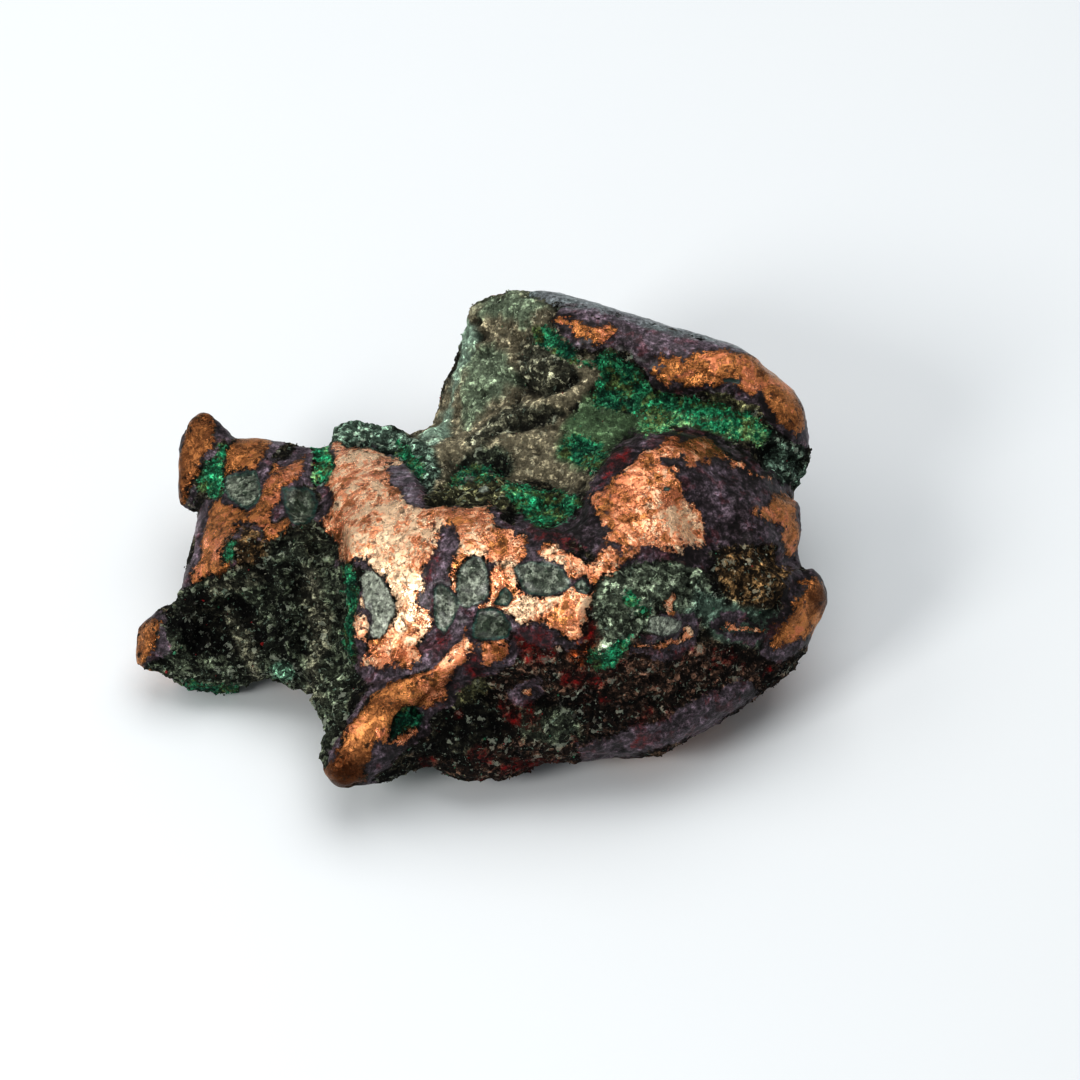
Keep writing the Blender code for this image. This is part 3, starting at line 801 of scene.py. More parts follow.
def unfaceted(places, edges, rounds):
    """Places smoothed without shrinking: each round steps to the neighbours' mean, then a bit more back."""
    for _ in range(rounds):
        for step in (0.6, -0.62):
            places = places + step * (neighbour_mean(places, edges) - places)
    return places


def set_number(mesh, name, values):
    """Stores one number for each vertex."""
    mesh.attributes.new(name, "FLOAT", "POINT").data.foreach_set("value", values.astype(np.float32))


def set_colour(mesh, name, colours):
    """Stores one linear colour for each vertex."""
    full = np.concatenate((colours, np.ones((len(colours), 1))), axis=1).astype(np.float32)
    mesh.attributes.new(name, "FLOAT_COLOR", "POINT").data.foreach_set("color", full.ravel())


# Where each mineral lies

def wild_fields(grid, convex):
    """Each mineral's depth where no patch reaches, from clouds; copper is bare on what stands out."""
    worn = 0.9 * np.clip(convex, -1, 1)
    slow = cloud(grid, 15, 11, 4)
    middle = cloud(grid, 7, 23, 4)
    copper = 2.2 * middle + 1.4 * worn + 0.9 * slow - 0.9
    malachite = 2.4 * cloud(grid, 9, 37, 4) - 0.8 * worn + 0.9 * slow - 1.0
    oxide = 2.0 * cloud(grid, 8, 53, 4) - 0.2 + 0.4 * worn
    cuprite = 2.0 * cloud(grid, 5, 71, 3) - 1.5
    stone = 2.6 * cloud(grid, 5, 89, 2) - 2.6
    return {"copper": copper, "malachite": malachite, "oxide": oxide, "cuprite": cuprite, "stone": stone}


def tinted(colours, share, name):
    """Colours turned by a share towards a named one."""
    return colours + share[:, None] * (linear(COLOURS[name]) - colours)


def ground_colours(spots, seen, grid, convex):
    """The colour under the minerals: each ground patch in turn with a soft edge where seen, else clouds."""
    colours = np.broadcast_to(linear(COLOURS["black_crust"]), (len(spots), 3))
    dusty = ease(-0.25, 0.35, cloud(grid, 12, 101, 4) - 0.5 * convex)
    wild = tinted(colours, dusty * 0.8, "dust")
    wild = tinted(wild, ease(0.1, 0.6, cloud(grid, 7, 113, 4)) * 0.6, "olive_crust")
    wild = tinted(wild, ease(0.2, 0.7, cloud(grid, 9, 131, 4)) * 0.6, "belly_crust")
    sway = 0.6 * cloud(grid, 2.2, 151, 3) + 0.5 * cloud(grid, 0.8, 157, 2)
    for name, softness, outline in GROUND.values():
        depth = inside_depth(spots, outline) + softness * sway
        colours = tinted(colours, ease(-0.7 * softness, 0.7 * softness, depth), name)
    gaps = ease(0.05, 0.5, cloud(grid, 2.4, 191, 4))[:, None] * (1 - ease(0.08, 0.16, colours[:, 1:2]))
    colours = colours * (1.15 - 0.75 * gaps)
    return seen[:, None] * colours + (1 - seen[:, None]) * wild


def mineral_fields(places, normals, edges):
    """All that the relief and the finish need at each vertex, by name; depths are in millimetres."""
    grid = places / MM
    spots, _ = on_frame(places)
    seen = ease(0, 0.35, softened(seen_share(places, normals), edges, SEEN_ROUNDS))
    smooth = softened(places, edges, FORM_ROUNDS)
    convex = np.sum((places - smooth) * normals, axis=1) / FORM_RISE
    fields = wild_fields(grid, convex)
    sway = cloud(grid, 6, 167, 3)
    # The patches of each mineral, and the mean and spread of its tone on the hidden sides.
    layers = {"copper": (COPPER, 0.55, 0.5), "malachite": (MALACHITE, 0.5, 0.7), "oxide": (OXIDE, 0.4, 0.4),
              "stone": (STONE, 0.4, 0.4)}
    for name, (patches, mean, spread) in layers.items():
        depth, tone = patch_fields(spots, patches)
        fields[name] = seen * depth + (1 - seen) * fields[name]
        fields[name + "_tone"] = seen * tone + (1 - seen) * (mean + spread * sway)
    fields["copper_tone"] = toned_by_spots(spots, fields["copper_tone"], COPPER_STAINS_AND_HIGHLIGHTS)
    fields["malachite_tone"] = toned_by_spots(spots, fields["malachite_tone"], MALACHITE_STAINS)
    depth = np.max([inside_depth(spots, outline) for outline in CUPRITE.values()], axis=0)
    fields["cuprite"] = seen * depth + (1 - seen) * fields["cuprite"]
    belly = seen * ease(-0.5, 0.5, inside_depth(spots, GROUND["belly"][2]))
    specks = belly * (REACH + 1.6 * cloud(grid, 2.6, 197, 4) - 1.2) - REACH
    fields["cuprite"] = np.maximum(fields["cuprite"], specks)
    # A ring of oxide runs round the copper, except beside malachite and in craggy crust.
    rim = 0.6 - np.abs(fields["copper"] + 0.4) + 0.6 * cloud(grid, 3, 181, 3)
    rim -= 1.2 * ease(-0.4, 0.2, fields["malachite"])
    craggy = np.zeros(len(places))
    for name, share in CRAGGY.items():
        inside = seen * ease(-0.8, 0.4, inside_depth(spots, GROUND[name][2]))
        rim -= 0.8 * inside
        craggy = np.maximum(craggy, share * inside)
    fields["oxide"] = np.maximum(fields["oxide"], rim)
    fields["craggy"] = craggy
    fields["seen"] = seen
    fields["ground"] = ground_colours(spots, seen, grid, np.clip(convex, -1, 1))
    return fields


# Relief

def carved(spots, seen):
    """Height added by the named lines and spots, each its height times a bell curve of the distance to it."""
    height = np.zeros(len(spots))
    for width, rise, line in LINES.values():
        distance = edge_distance(spots, line, False) * STEP / MM
        height += rise * np.exp(-((distance / width) ** 2))
    for right, down, radius, rise in SPOTS.values():
        distance = np.linalg.norm(spots - (right, down), axis=1)
        height += rise * np.exp(-((distance / radius) ** 4))
    return height * seen


def relief(places, fields):
    """Height over the broad form, in millimetres: smooth on copper; grainy, pitted or folded elsewhere."""
    grid = places / MM
    spots, _ = on_frame(places)
    copper = ease(-0.25, 0.3, fields["copper"]) * (1 - ease(-0.2, 0.2, fields["stone"]))
    green = ease(-0.4, 0.5, fields["malachite"]) * (1 - copper)
    stone = ease(-0.2, 0.2, fields["stone"])
    oxide = ease(-0.4, 0.5, fields["oxide"]) * (1 - copper) * (1 - green)
    crust = np.clip(1 - copper - green - stone - oxide, 0, 1)
    craggy = 0.45 + 0.45 * fields["craggy"]
    near, second = pebbles(grid + 0.35 * cloud(grid, 1.5, 5, 2)[:, None], 1.5, 3)
    lumps = 0.42 * ease(0.0, 0.55, second - near) - 0.22
    small_near, small_second = pebbles(grid, 0.75, 9)
    grains = 0.3 * ease(0.0, 0.5, small_second - small_near) - 0.16
    folds = 0.7 * (0.35 - np.abs(cloud(grid * (1, 1, 1.6), 3.2, 19, 4)))
    hammered = 0.09 * cloud(grid, 2.4, 29, 3) + 0.045 * cloud(grid, 0.9, 31, 2)
    pitted = -0.35 * ease(0.35, 0.7, cloud(grid, 1.7, 41, 3))
    height = copper * (hammered + 0.04)
    height += green * (-0.1 + 0.5 * lumps + 0.9 * grains + 0.15 * cloud(grid, 1.2, 43, 3))
    height += stone * (-0.16 + 0.05 * cloud(grid, 1.1, 47, 3))
    worn = 1 - ease(0.8, 1.3, fields["oxide_tone"])
    height += oxide * (-0.06 + 0.45 * worn * pitted + 0.07 * cloud(grid, 0.9, 59, 3))
    strands = 0.16 * cloud(grid * (0.4, 1.0, 1.4), 1.0, 83, 4, 0.7)
    rugged = 0.6 * lumps + 0.9 * folds + 1.2 * pitted + 0.2 * cloud(grid, 1.4, 61, 3, 0.75)
    height += crust * (-0.16 + craggy * rugged + 0.4 * grains + strands)
    return height + carved(spots, fields["seen"])


# Shader maths

class Wire:
    """A socket of a material; arithmetic on wires and numbers adds Math nodes."""

    def __init__(self, tree, socket=None):
        """Keeps a node tree and one of its output sockets; the start wire of a material has no socket."""
        self.tree = tree
        self.socket = socket

    def node(self, kind, settings=None, inputs=None, output=0):
        """Adds a node: its settings first, then the value or link of each input."""
        made = self.tree.nodes.new(kind)
        for name, value in (settings or {}).items():
            setattr(made, name, value)
        for key, value in (inputs or {}).items():
            if isinstance(value, Wire):
                self.tree.links.new(value.socket, made.inputs[key])
            else:
                made.inputs[key].default_value = value
        return Wire(self.tree, made.outputs[output])

    def output(self, number):
        """Another output of the same node."""
        return Wire(self.tree, self.socket.node.outputs[number])

    def math(self, operation, *values):
        """A Math node on these values."""
        return self.node("ShaderNodeMath", {"operation": operation}, dict(enumerate(values)))

    def __add__(self, other):
        return self.math("ADD", self, other)

    def __sub__(self, other):
        return self.math("SUBTRACT", self, other)

    def __rsub__(self, other):
        return self.math("SUBTRACT", other, self)

    def __mul__(self, other):
        return self.math("MULTIPLY", self, other)

    def __truediv__(self, other):
        return self.math("DIVIDE", self, other)

    def __pow__(self, other):
        return self.math("POWER", self, other)

    def __abs__(self):
        return self.math("ABSOLUTE", self)

    __radd__ = __add__
    __rmul__ = __mul__

    def clamped(self):
        """This number, held between 0 and 1."""
        return self.node("ShaderNodeClamp", None, {0: self})

    def ramp(self, low, high):
        """0 below low, 1 above high, straight between."""
        return ((self - low) / (high - low)).clamped()

    def between(self, first, second):
        """A colour between two: the first where this number is 0, the second where it is 1."""
        return self.node("ShaderNodeMix", {"data_type": "RGBA"}, {0: self, 6: first, 7: second}, 2)

    def mixed(self, share, other):
        """This colour, turned by a share towards another."""
        return self.node("ShaderNodeMix", {"data_type": "RGBA"}, {0: share, 6: self, 7: other}, 2)

    def shaded(self, gain):
        """This colour times a number."""
        grey = self.node("ShaderNodeCombineColor", None, {0: gain, 1: gain, 2: gain})
        settings = {"data_type": "RGBA", "blend_type": "MULTIPLY"}
        return self.node("ShaderNodeMix", settings, {0: 1.0, 6: self, 7: grey}, 2)

    def channel(self, number=0):
        """One channel of this colour: 0 is red, 1 is green."""
        return self.node("ShaderNodeSeparateColor", None, {0: self}, number)

    def noise(self, size, detail=3.0, rough=0.55, twist=0.0):
        """Cloudy noise at this place, 0 to 1, with lumps of a size in millimetres; output 1 is a colour."""
        return self.node("ShaderNodeTexNoise", None, {
            "Vector": self, "Scale": 1 / size, "Detail": detail, "Roughness": rough, "Distortion": twist})

    def cells(self, size):
        """Cells of a size in millimetres: the distance to the centre; output 1 is a random colour."""
        return self.node("ShaderNodeTexVoronoi", None, {"Vector": self, "Scale": 1 / size})

    def drawn_out(self, turn, scale):
        """This place, turned and scaled, so that a noise on it is drawn out to strands."""
        return self.node("ShaderNodeMapping", None, {"Vector": self, "Rotation": turn, "Scale": scale})

    def stored(self, name, output=2):
        """A vertex value by name: output 2 is a number, 0 a colour."""
        return self.node("ShaderNodeAttribute", {"attribute_name": name}, None, output)

    def bump(self, height, distance):
        """The normal that a height gives, where a height of 1 stands for a distance in metres."""
        return self.node("ShaderNodeBump", None, {"Height": height, "Distance": distance, "Strength": 1.0})


def rgba(name, gain=1.0):
    """A named colour as linear red, green, blue and 1, brightened by a gain."""
    return (*(linear(COLOURS[name]) * gain), 1.0)


def new_material(name):
    """A node material: itself, the sockets of its surface and its Object coordinates in millimetres."""
    material = bpy.data.materials.new(name)
    material.use_nodes = True
    tree = material.node_tree
    place = Wire(tree).node("ShaderNodeTexCoord", None, None, "Object")
    scaled = place.node("ShaderNodeVectorMath", {"operation": "SCALE"}, {0: place, "Scale": 1 / MM})
    return material, tree.nodes["Principled BSDF"].inputs, scaled


def plug(inputs, values):
    """Joins wires to the surface's sockets, or sets values on them."""
    for name, value in values.items():
        if isinstance(value, Wire):
            value.tree.links.new(value.socket, inputs[name])
        else:
            inputs[name].default_value = value


class Noises:
    """The noises that several minerals share, each from 0 to 1, at a place on the surface."""

    def __init__(self, place):
        """Adds them to the material that the place belongs to."""
        self.place = place
        self.slow = place.noise(4.0, 4.0, 0.6).ramp(0.34, 0.66)
        self.spell = place.noise(2.0, 5.0, 0.65, 0.4).ramp(0.4, 0.6)
        strands = place.drawn_out((0.2, 0.3, 0.5), (0.4, 1.3, 1.3)).noise(0.9, 5.0, 0.72, 0.7)
        self.strands = strands.ramp(0.4, 0.6)
        self.grit = place.noise(0.95, 6.0, 0.74).ramp(0.38, 0.62)
        self.fine = place.noise(0.34, 3.0, 0.72).ramp(0.38, 0.62)
        self.near = place.cells(0.75)
        self.grain = self.near.output(1).channel()
        # The place swayed by up to 1.6 mm gives cells with crooked sides; a chip is one small cell's number.
        sway = place.noise(1 / 1.1, 4.0, 0.65).output(1)
        self.bent = place.node("ShaderNodeVectorMath", {"operation": "MULTIPLY_ADD"}, {
            0: sway, 1: (1.6, 1.6, 1.6), 2: place})
        self.chip = self.bent.cells(0.5).output(1).channel()
        # Most chips are dark and a few are very bright.
        self.chips = self.chip ** 4.0 * 3.6 + 0.22
        # What an outline's depth is swayed by, in millimetres, about -2 to 2.
        wide = (place.noise(1.6, 6.0, 0.72, 0.4) - 0.5) * 4.0
        self.ragged = wide + (place.noise(0.5, 4.0, 0.74) - 0.5) * 4.5

    def cover(self, name, spread, blur):
        """1 inside a mineral's patches and 0 outside, with a ragged edge."""
        return (self.place.stored(name) + self.ragged * spread).ramp(-blur, blur)


def painted(tone, lowest, *steps):
    """A colour by tone: the lowest, over which each step's colour comes between its two tones."""
    (low, high, name), *others = steps
    colour = tone.ramp(low, high).between(rgba(lowest), rgba(name))
    for low, high, name in others:
        colour = colour.mixed(tone.ramp(low, high), rgba(name))
    return colour


def crust_look(noises):
    """The crust's colour: grain and strands with dark gaps, and painted shade where the relief is low; pale
    flakes and crystals where no dust lies.
    """
    place, grit, fine = noises.place, noises.grit, noises.fine
    craggy = place.stored("craggy")
    colour = place.stored("ground", 0)
    dusty = colour.channel(1).ramp(0.12, 0.32) * (0.84 - craggy * 0.7)
    coarse = noises.strands * craggy + grit * (1 - craggy)
    grain = (grit * 0.35 + fine * 0.35 + coarse * 0.3) ** 2.2 * 4.0 * noises.chips + 0.05
    grain = grain * (1 - dusty) + dusty * (fine * 0.3 + grit * 0.2 + 0.36)
    # Painted shade: the crust is darker where its relief height is low, in pits, grooves and hollows.
    hollow = place.stored("height").ramp(-0.8, 0.1) * 0.8 + 0.2
    pits = place.noise(0.7, 4.0, 0.75).ramp(0.58, 0.62)
    colour = colour.shaded(grain * hollow * (1 - pits * (0.8 - dusty * 0.6)))
    flakes = place.noise(0.55, 3.0, 0.72, 0.5).ramp(0.62, 0.66)
    colour = colour.mixed(flakes * (0.45 - dusty * 0.45), rgba("green_dust", 0.75))
    crystal = (noises.chip + noises.slow * 0.06 - 0.965).ramp(0.0, 0.015) * (1 - dusty)
    return colour.mixed(crystal * place.stored("crust_share") * 0.7, rgba("stone_light", 0.8))


def oxide_look(noises):
    """Oxides: black to purple grey by tone, deep red in places, a worn grey film where the tone is over 1; on
    the shoulder's top edge that film is also a painted sheen.

    Returns their share, the film's share and the colour.
    """
    tone = noises.place.stored("oxide_tone")
    film = (tone + (noises.strands - 0.5) * 0.4).ramp(1.0, 1.4)
    mottle = (noises.slow - 0.5) * 0.7 + (noises.grit - 0.5) * 0.6
    colour = (tone + mottle).between(rgba("oxide_dark"), rgba("oxide_light"))
    colour = colour.mixed(noises.spell.ramp(0.75, 1.0) * 0.35, rgba("cuprite", 0.5))
    # The grey film: worn oxide, and on the shoulder's top edge a painted sheen.
    colour = colour.mixed(film * (0.6 + noises.slow * 0.4), rgba("grey_film_and_sheen"))
    grain = (noises.fine * noises.grit * 1.7 + 0.4) * ((noises.chip * 0.8 + 0.5) * (1 - film) + film)
    return noises.cover("oxide", 0.4, 0.1), film, colour.shaded(grain)


def cuprite_look(noises):
    """Dark red cuprite between the grains: its share and colour."""
    share = noises.cover("cuprite", 0.6, 0.3) * (noises.grit + 0.1).clamped()
    tone = (noises.chip * 1.1 + 0.02) * noises.grit
    return share, tone.between(rgba("cuprite", 0.05), rgba("cuprite"))


def malachite_look(noises):
    """Malachite: dark emerald, bright and pale by tone and grain, olive in places; its share and colour."""
    tone = noises.place.stored("malachite_tone") + (noises.grit - 0.5) * 0.7
    tone = tone + (noises.grain - 0.5) * 0.35 + (noises.slow - 0.5) * 0.5
    colour = painted(tone, "malachite_dark", (0.05, 0.6, "malachite"), (0.6, 1.05, "malachite_bright"),
                     (1.0, 1.35, "malachite_pale"))
    colour = colour.mixed(noises.spell.ramp(0.5, 0.9) * 0.72, rgba("malachite_olive"))
    grain = noises.fine * noises.grit * 2.4 * (noises.chip * 1.4 + 0.35) + 0.28
    return noises.cover("malachite", 0.55, 0.12), colour.shaded(grain)


def stone_look(noises):
    """Stone: broken facets, mottled grey green, with a dark rim; its share, its facets and its colour."""
    tone = noises.place.stored("stone_tone")
    facet = noises.bent.cells(2.0).output(1).channel()
    mottle = (facet - 0.5) * 0.5 + (noises.chip - 0.5) * 0.6 + (noises.slow - 0.5) * 0.2
    colour = (tone + mottle).between(rgba("stone_dark"), rgba("stone_light"))
    inner = noises.place.stored("stone") + noises.ragged * 0.2
    colour = colour.mixed((1 - inner.ramp(0.12, 0.4)) * (1 - tone).clamped(), rgba("stone_rim"))
    colour = colour.mixed((1 - inner.ramp(0.04, 0.16)) * 0.85, rgba("oxide_dark"))
    grain = (noises.fine * 0.9 + noises.grit * 0.6 + 0.1) * (noises.chips * 0.2 + 0.7)
    return noises.cover("stone", 0.1, 0.06), facet, colour.shaded(grain)


def copper_look(noises, stone):
    """Copper: salmon where bright, ochre and brown where a film lies on it, with pinholes near its edges,
    painted glints, and painted shade in its creases.

    Returns its share, the painted shadow on the crust just outside its edge, its colour, roughness, metallic
    share and height.
    """
    place, bent, fine = noises.place, noises.bent, noises.fine
    inside = place.stored("copper")
    depth = inside + noises.ragged * 0.4
    pinholes = place.noise(0.8, 5.0, 0.7).ramp(0.59, 0.62) * (1 - inside.ramp(0.2, 1.8) * 0.8)
    share = depth.ramp(-0.04, 0.04) * (1 - stone) * (1 - pinholes)
    # Painted shadow: the crust just outside the copper's edge is darkened, as if the copper stood proud and
    # shaded it.
    gap = depth.ramp(-0.5, -0.05) * (1 - share) * (1 - stone) * 0.65
    film = place.noise(2.8, 7.0, 0.74, 0.5).ramp(0.475, 0.525)
    flecks = place.noise(1.2, 5.0, 0.72, 0.6).ramp(0.55, 0.575)
    stains = place.noise(0.8, 5.0, 0.74, 0.5).ramp(0.61, 0.63)
    # Painted glints: small crisp flecks lightened towards the palest copper colour, a little smoother and
    # raised.
    lights = place.noise(0.9, 5.0, 0.74, 0.6).ramp(0.56, 0.58)
    seams = abs(place.noise(2.2, 5.0, 0.7, 0.5) - 0.5).ramp(0.012, 0.004)
    # Painted shade: thin crease lines on the copper are darkened brown, and sunk a little in the bump.
    crease_shade = abs(bent.noise(0.9, 3.0, 0.6) - 0.5).ramp(0.022, 0.006) * noises.spell
    scratches = bent.drawn_out((0.2, 0.3, 0.9), (0.35, 6.0, 2.0)).noise(1.6, 3.0, 0.6)
    foil = bent.cells(1.1)
    mottle = (film - 0.3) * 0.5 - flecks * 0.5 + lights * 0.5
    mottle = mottle + (foil.output(1).channel() - 0.5) * 0.7 + scratches.ramp(0.6, 0.66) * 0.35
    even_tone = place.stored("copper_tone")
    tone = even_tone + mottle * (even_tone.ramp(0.2, 0.9) * 0.85 + 0.45)
    colour = painted(tone, "copper_brown", (0.0, 0.4, "copper_ochre"), (0.45, 0.65, "copper_dull"),
                     (0.75, 1.0, "copper_salmon"), (1.2, 1.55, "copper_pale_and_highlight"))
    colour = colour.mixed((0 - tone).ramp(0.0, 0.6) * 0.9, rgba("copper_stain"))
    colour = colour.mixed(stains * 0.7, rgba("copper_stain"))
    colour = colour.mixed(seams * 0.5, rgba("copper_stain"))
    colour = colour.mixed(crease_shade * 0.75, rgba("copper_brown", 0.5))
    colour = colour.mixed((1 - depth.ramp(0.0, 0.3)) * 0.4, rgba("copper_stain"))
    rough = 0.27 + (film - 0.5) * 0.14 + (fine - 0.5) * 0.1 + flecks * 0.12 - lights * 0.06 + stains * 0.15
    height = fine * 0.01 + noises.grit * 0.025 + film * 0.03 - flecks * 0.025 + lights * 0.02 - stains * 0.05
    height = height + scratches * 0.02 - foil * 0.08 - crease_shade * 0.035 - seams * 0.02
    return share, gap, colour, rough, 0.97 - stains * 0.3, height


def nugget_material():
    """Minerals laid one over another, each by its depth attribute with a finely ragged edge."""
    material, surface, place = new_material("native_copper_and_minerals")
    noises = Noises(place)
    oxide, film, oxide_colour = oxide_look(noises)
    cuprite, cuprite_colour = cuprite_look(noises)
    green, green_colour = malachite_look(noises)
    stone, facet, stone_colour = stone_look(noises)
    copper, gap, copper_colour, copper_rough, copper_metal, copper_height = copper_look(noises, stone)
    base = crust_look(noises).mixed(oxide, oxide_colour).mixed(cuprite, cuprite_colour)
    base = base.mixed(green, green_colour).mixed(stone, stone_colour)
    # The painted shadow outside the copper's edge darkens the minerals under it; the copper is laid over
    # them.
    base = base.shaded(1 - gap).mixed(copper, copper_colour)
    rough = 0.8 - oxide * 0.32 - oxide * film * 0.2 - green * 0.2 - cuprite * 0.2
    rough = rough * (1 - stone) + stone * 0.42
    rough = (rough * (1 - copper) + copper_rough * copper).clamped()
    metal = copper * copper_metal + oxide * (1 - copper) * (1 - green) * (1 - stone) * 0.2
    quiet = copper + stone * (1 - copper) * 0.8
    quiet = (quiet + oxide * (1 - quiet) * (0.4 + film * 0.4)).clamped()
    height = noises.grit * 0.15 + noises.fine * 0.07 + noises.strands * 0.08
    height = height + noises.chip * 0.08 - noises.near * 0.06
    height = height * (1 - quiet) + copper_height * quiet + copper * 0.08 + facet * stone * 0.1
    plug(surface, {
        "Base Color": base, "Roughness": rough, "Metallic": metal, "Normal": place.bump(height, MM),
        "Coat Weight": (stone * 0.2 + oxide * 0.3) * (1 - copper), "Coat Roughness": 0.28,
        "IOR": 1.5, "Specular IOR Level": 0.25})
    return material


def grain_material():
    """Crystal grains: each vertex carries its grain's colour, dulled by fine noise."""
    material, surface, place = new_material("mineral_grains")
    colour = place.stored("grain", 0).shaded(place.noise(0.12, 3.0, 0.6) * 0.7 + 0.65)
    normal = place.bump(place.noise(0.1), 0.05 * MM)
    plug(surface, {"Base Color": colour, "Roughness": 0.42, "Normal": normal, "IOR": 1.55})
    return material


def floor_material():
    """Matt, pale, slightly cool board with the faintest unevenness."""
    material, surface, place = new_material("pale_board")
    colour = place.noise(40.0, 2.0, 0.5).between(*FLOOR_COLOURS)
    plug(surface, {"Base Color": colour, "Roughness": 0.6, "Specular IOR Level": 0.3})
    return material


# Grains

def grain_shape():
    """A twenty-faced ball of radius 1: corners and faces."""
    shape = bmesh.new()
    bmesh.ops.create_icosphere(shape, subdivisions=1, radius=1.0)
    corners = np.array([vert.co[:] for vert in shape.verts])
    faces = np.array([[vert.index for vert in face.verts] for face in shape.faces])
    shape.free()
    return corners, faces


def random_turns(draw, count):
    """Rotation matrices from random unit quaternions."""
    turns = draw.normal(size=(4, count))
    w, x, y, z = turns / np.linalg.norm(turns, axis=0)
    return np.stack((
        1 - 2 * (y * y + z * z), 2 * (x * y - w * z), 2 * (x * z + w * y),
        2 * (x * y + w * z), 1 - 2 * (x * x + z * z), 2 * (y * z - w * x),
        2 * (x * z - w * y), 2 * (y * z + w * x), 1 - 2 * (x * x + y * y)), axis=1).reshape(-1, 3, 3)


def crust_tints(draw, fields, chosen):
    """Ground coloured grains, lighter and darker; a few are pale crystals, green ones and red ones."""
    gain = draw.uniform(0.3, 1.1, (len(chosen), 1))
    kind = draw.random(len(chosen))[:, None]
    tint = np.where(kind < 0.012, linear(COLOURS["crystal"]), fields["ground"][chosen] * gain)
    tint = np.where((kind > 0.02) & (kind < 0.04), linear(COLOURS["malachite"]) * gain, tint)
    return np.where((kind > 0.04) & (kind < 0.06), linear(COLOURS["cuprite"]) * gain * 0.7, tint)


def malachite_tints(draw, fields, chosen):
    """Green grains from deep emerald to bright and pale, following the tone of the patch."""
    tone = fields["malachite_tone"][chosen] + draw.normal(-0.05, 0.22, len(chosen))
    stops = (-0.2, 0.45, 1.0, 1.6)
    names = ("malachite_dark", "malachite", "malachite_bright", "malachite_pale")
    colours = np.array([linear(COLOURS[name]) for name in names])
    return np.stack([np.interp(tone, stops, column) for column in colours.T], axis=1)


def scattered_grains(name, places, normals, chance, tints, fields, material):
    """Grains sown on the surface by chance: stretched, jolted and turned copies of a ball, part sunk."""
    count, smallest, largest, seed = GRAINS[name]
    draw = np.random.default_rng(seed)
    chosen = draw.choice(len(places), size=count, p=chance / chance.sum())
    corners, faces = grain_shape()
    radius = smallest + (largest - smallest) * draw.random((count, 1)) ** 2.5
    stretch = radius * draw.uniform(0.4, 1.4, (count, 3))
    jolt = draw.uniform(0.6, 1.3, (count, len(corners), 1))
    turned = np.einsum("nij,nkj->nki", random_turns(draw, count), corners * jolt * stretch[:, None])
    centres = places[chosen] + draw.uniform(-GRAIN_SPREAD, GRAIN_SPREAD, (count, 3))
    centres -= normals[chosen] * radius * GRAIN_SUNK
    centres[:, 2] = np.maximum(centres[:, 2], 1.5 * radius[:, 0])
    points = (turned + centres[:, None]).reshape(-1, 3)
    links = (faces + len(corners) * np.arange(count)[:, None, None]).reshape(-1, 3)
    mesh = bpy.data.meshes.new(name)
    mesh.from_pydata(points, [], links.tolist())
    set_colour(mesh, "grain", np.repeat(tints(draw, fields, chosen), len(corners), axis=0))
    mesh.materials.append(material)
    return shown(name, mesh)


# The scene

def add_camera():
    """Looks at AIM from the south, VIEW_ELEVATION up, with the frame just filling the picture."""
    camera = bpy.data.cameras.new("main_view")
    camera.sensor_width = SENSOR
    camera.lens = SENSOR * VIEW_DISTANCE / (FRAME_STEPS * STEP)
    camera.clip_start = 0.01
    placed = shown("main_view", camera)
    placed.location = AIM - look_axes()[2] * VIEW_DISTANCE
    placed.rotation_euler = (math.pi / 2 - VIEW_ELEVATION, 0, 0)
    bpy.context.scene.camera = placed


def add_light(name, place, size, power, colour):
    """A square softbox that faces the nugget."""
    light = bpy.data.lights.new(name, "AREA")
    light.shape = "SQUARE"
    light.size = size
    light.energy = power
    light.color = colour
    placed = shown(name, light)
    placed.location = place
    placed.rotation_euler = (Vector(place) - Vector(AIM)).to_track_quat("Z", "Y").to_euler()


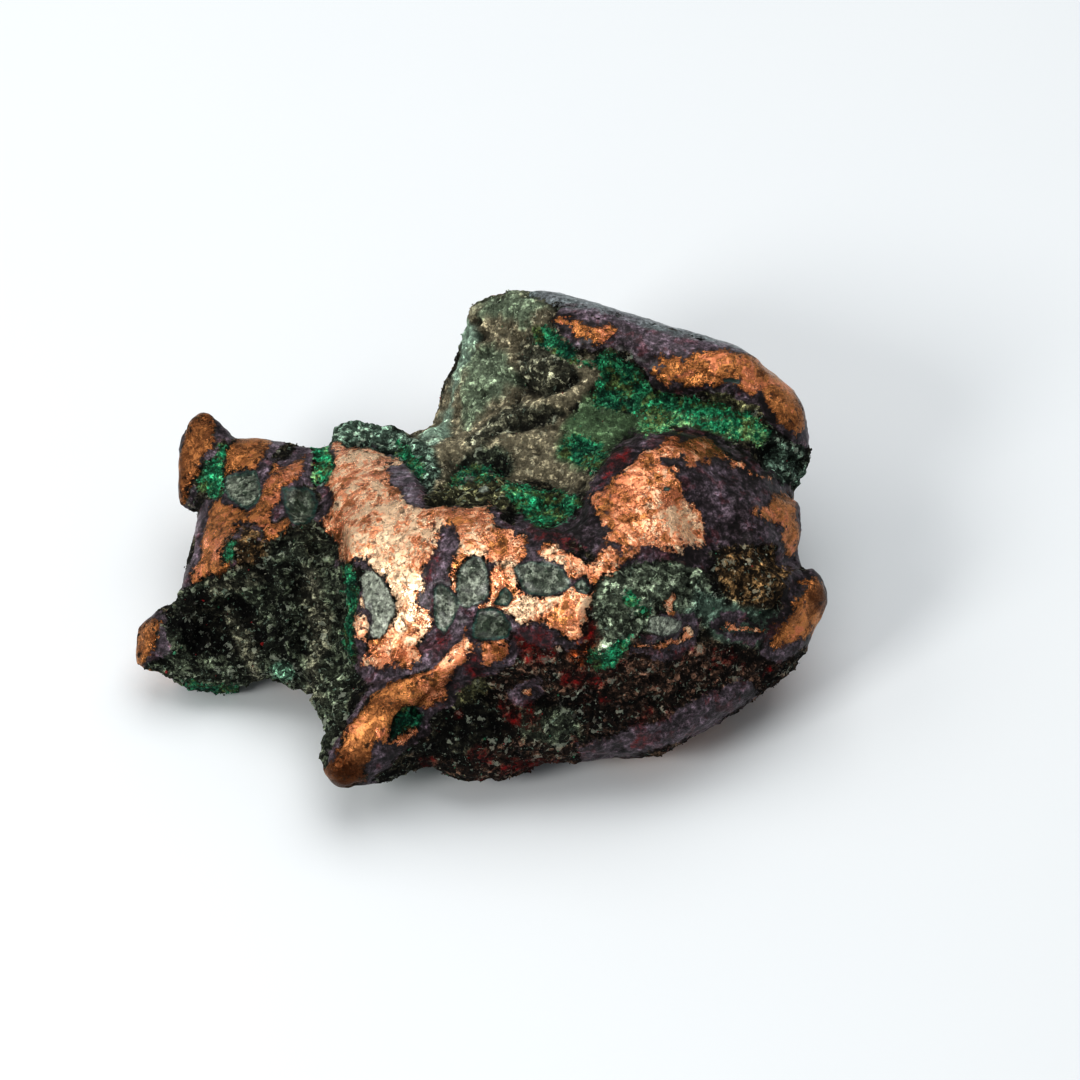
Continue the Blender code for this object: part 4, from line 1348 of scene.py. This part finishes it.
def add_surroundings():
    """The pale floor, a white room and the softboxes."""
    mesh = bpy.data.meshes.new("floor")
    corners = [(x * FLOOR_REACH, y * FLOOR_REACH, 0) for x, y in ((-1, -1), (1, -1), (1, 1), (-1, 1))]
    mesh.from_pydata(corners, [], [(0, 1, 2, 3)])
    mesh.materials.append(floor_material())
    floor = shown("floor", mesh)
    world = bpy.data.worlds.new("white_room")
    world.use_nodes = True
    background = world.node_tree.nodes["Background"]
    background.inputs["Color"].default_value = ROOM_COLOUR
    background.inputs["Strength"].default_value = ROOM_STRENGTH
    bpy.context.scene.world = world
    for name, (place, size, power, colour) in LIGHTS.items():
        add_light(name, place, size, power, colour)
    bpy.context.scene.view_settings.view_transform = "Standard"
    bpy.context.scene.view_settings.look = "High Contrast"


def build_nugget():
    """The nugget with its relief, minerals and grains."""
    nugget = fine_copy(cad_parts[NODE])
    mesh = nugget.data
    edges = read_rows(mesh.edges, "vertices", 2, np.int32)
    places = unfaceted(read_rows(mesh.vertices, "co", 3), edges, FACET_ROUNDS)
    normals = move_vertices(mesh, places)
    fields = mineral_fields(places, normals, edges)
    fields["height"] = relief(places, fields)
    places = places + normals * (fields["height"] * MM)[:, None]
    places[:, 2] = np.maximum(places[:, 2], 0)
    normals = move_vertices(mesh, places)
    bare = ease(-0.6, 0.0, fields["copper"])
    hard = ease(-0.5, 0.1, fields["stone"])
    green = ease(-0.3, 0.3, fields["malachite"]) * (1 - bare)
    dusty = ease(0.1, 0.16, fields["ground"].mean(axis=1))
    crust = (1 - bare) * (1 - hard) * (1 - green) * (1 - ease(-0.4, 0.1, fields["oxide"]))
    fields["crust_share"] = crust
    for name in ("copper", "malachite", "oxide", "cuprite", "stone", "copper_tone", "malachite_tone",
                 "oxide_tone", "stone_tone", "crust_share", "height", "craggy"):
        set_number(mesh, name, fields[name])
    set_colour(mesh, "ground", fields["ground"])
    mesh.materials.append(nugget_material())
    grains = grain_material()
    lifted = places[:, 2] > LOWEST_GRAIN
    sown = [
        scattered_grains(name, places, normals, chance * lifted + 1e-9, tints, fields, grains)
        for name, chance, tints in (("crust_grains", crust * (1 - 0.6 * dusty), crust_tints),
                                    ("malachite_grains", green, malachite_tints))]
    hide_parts(NODE)
    for piece in (nugget, *sown):
        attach(piece, "root")


build_nugget()
add_camera()
add_surroundings()
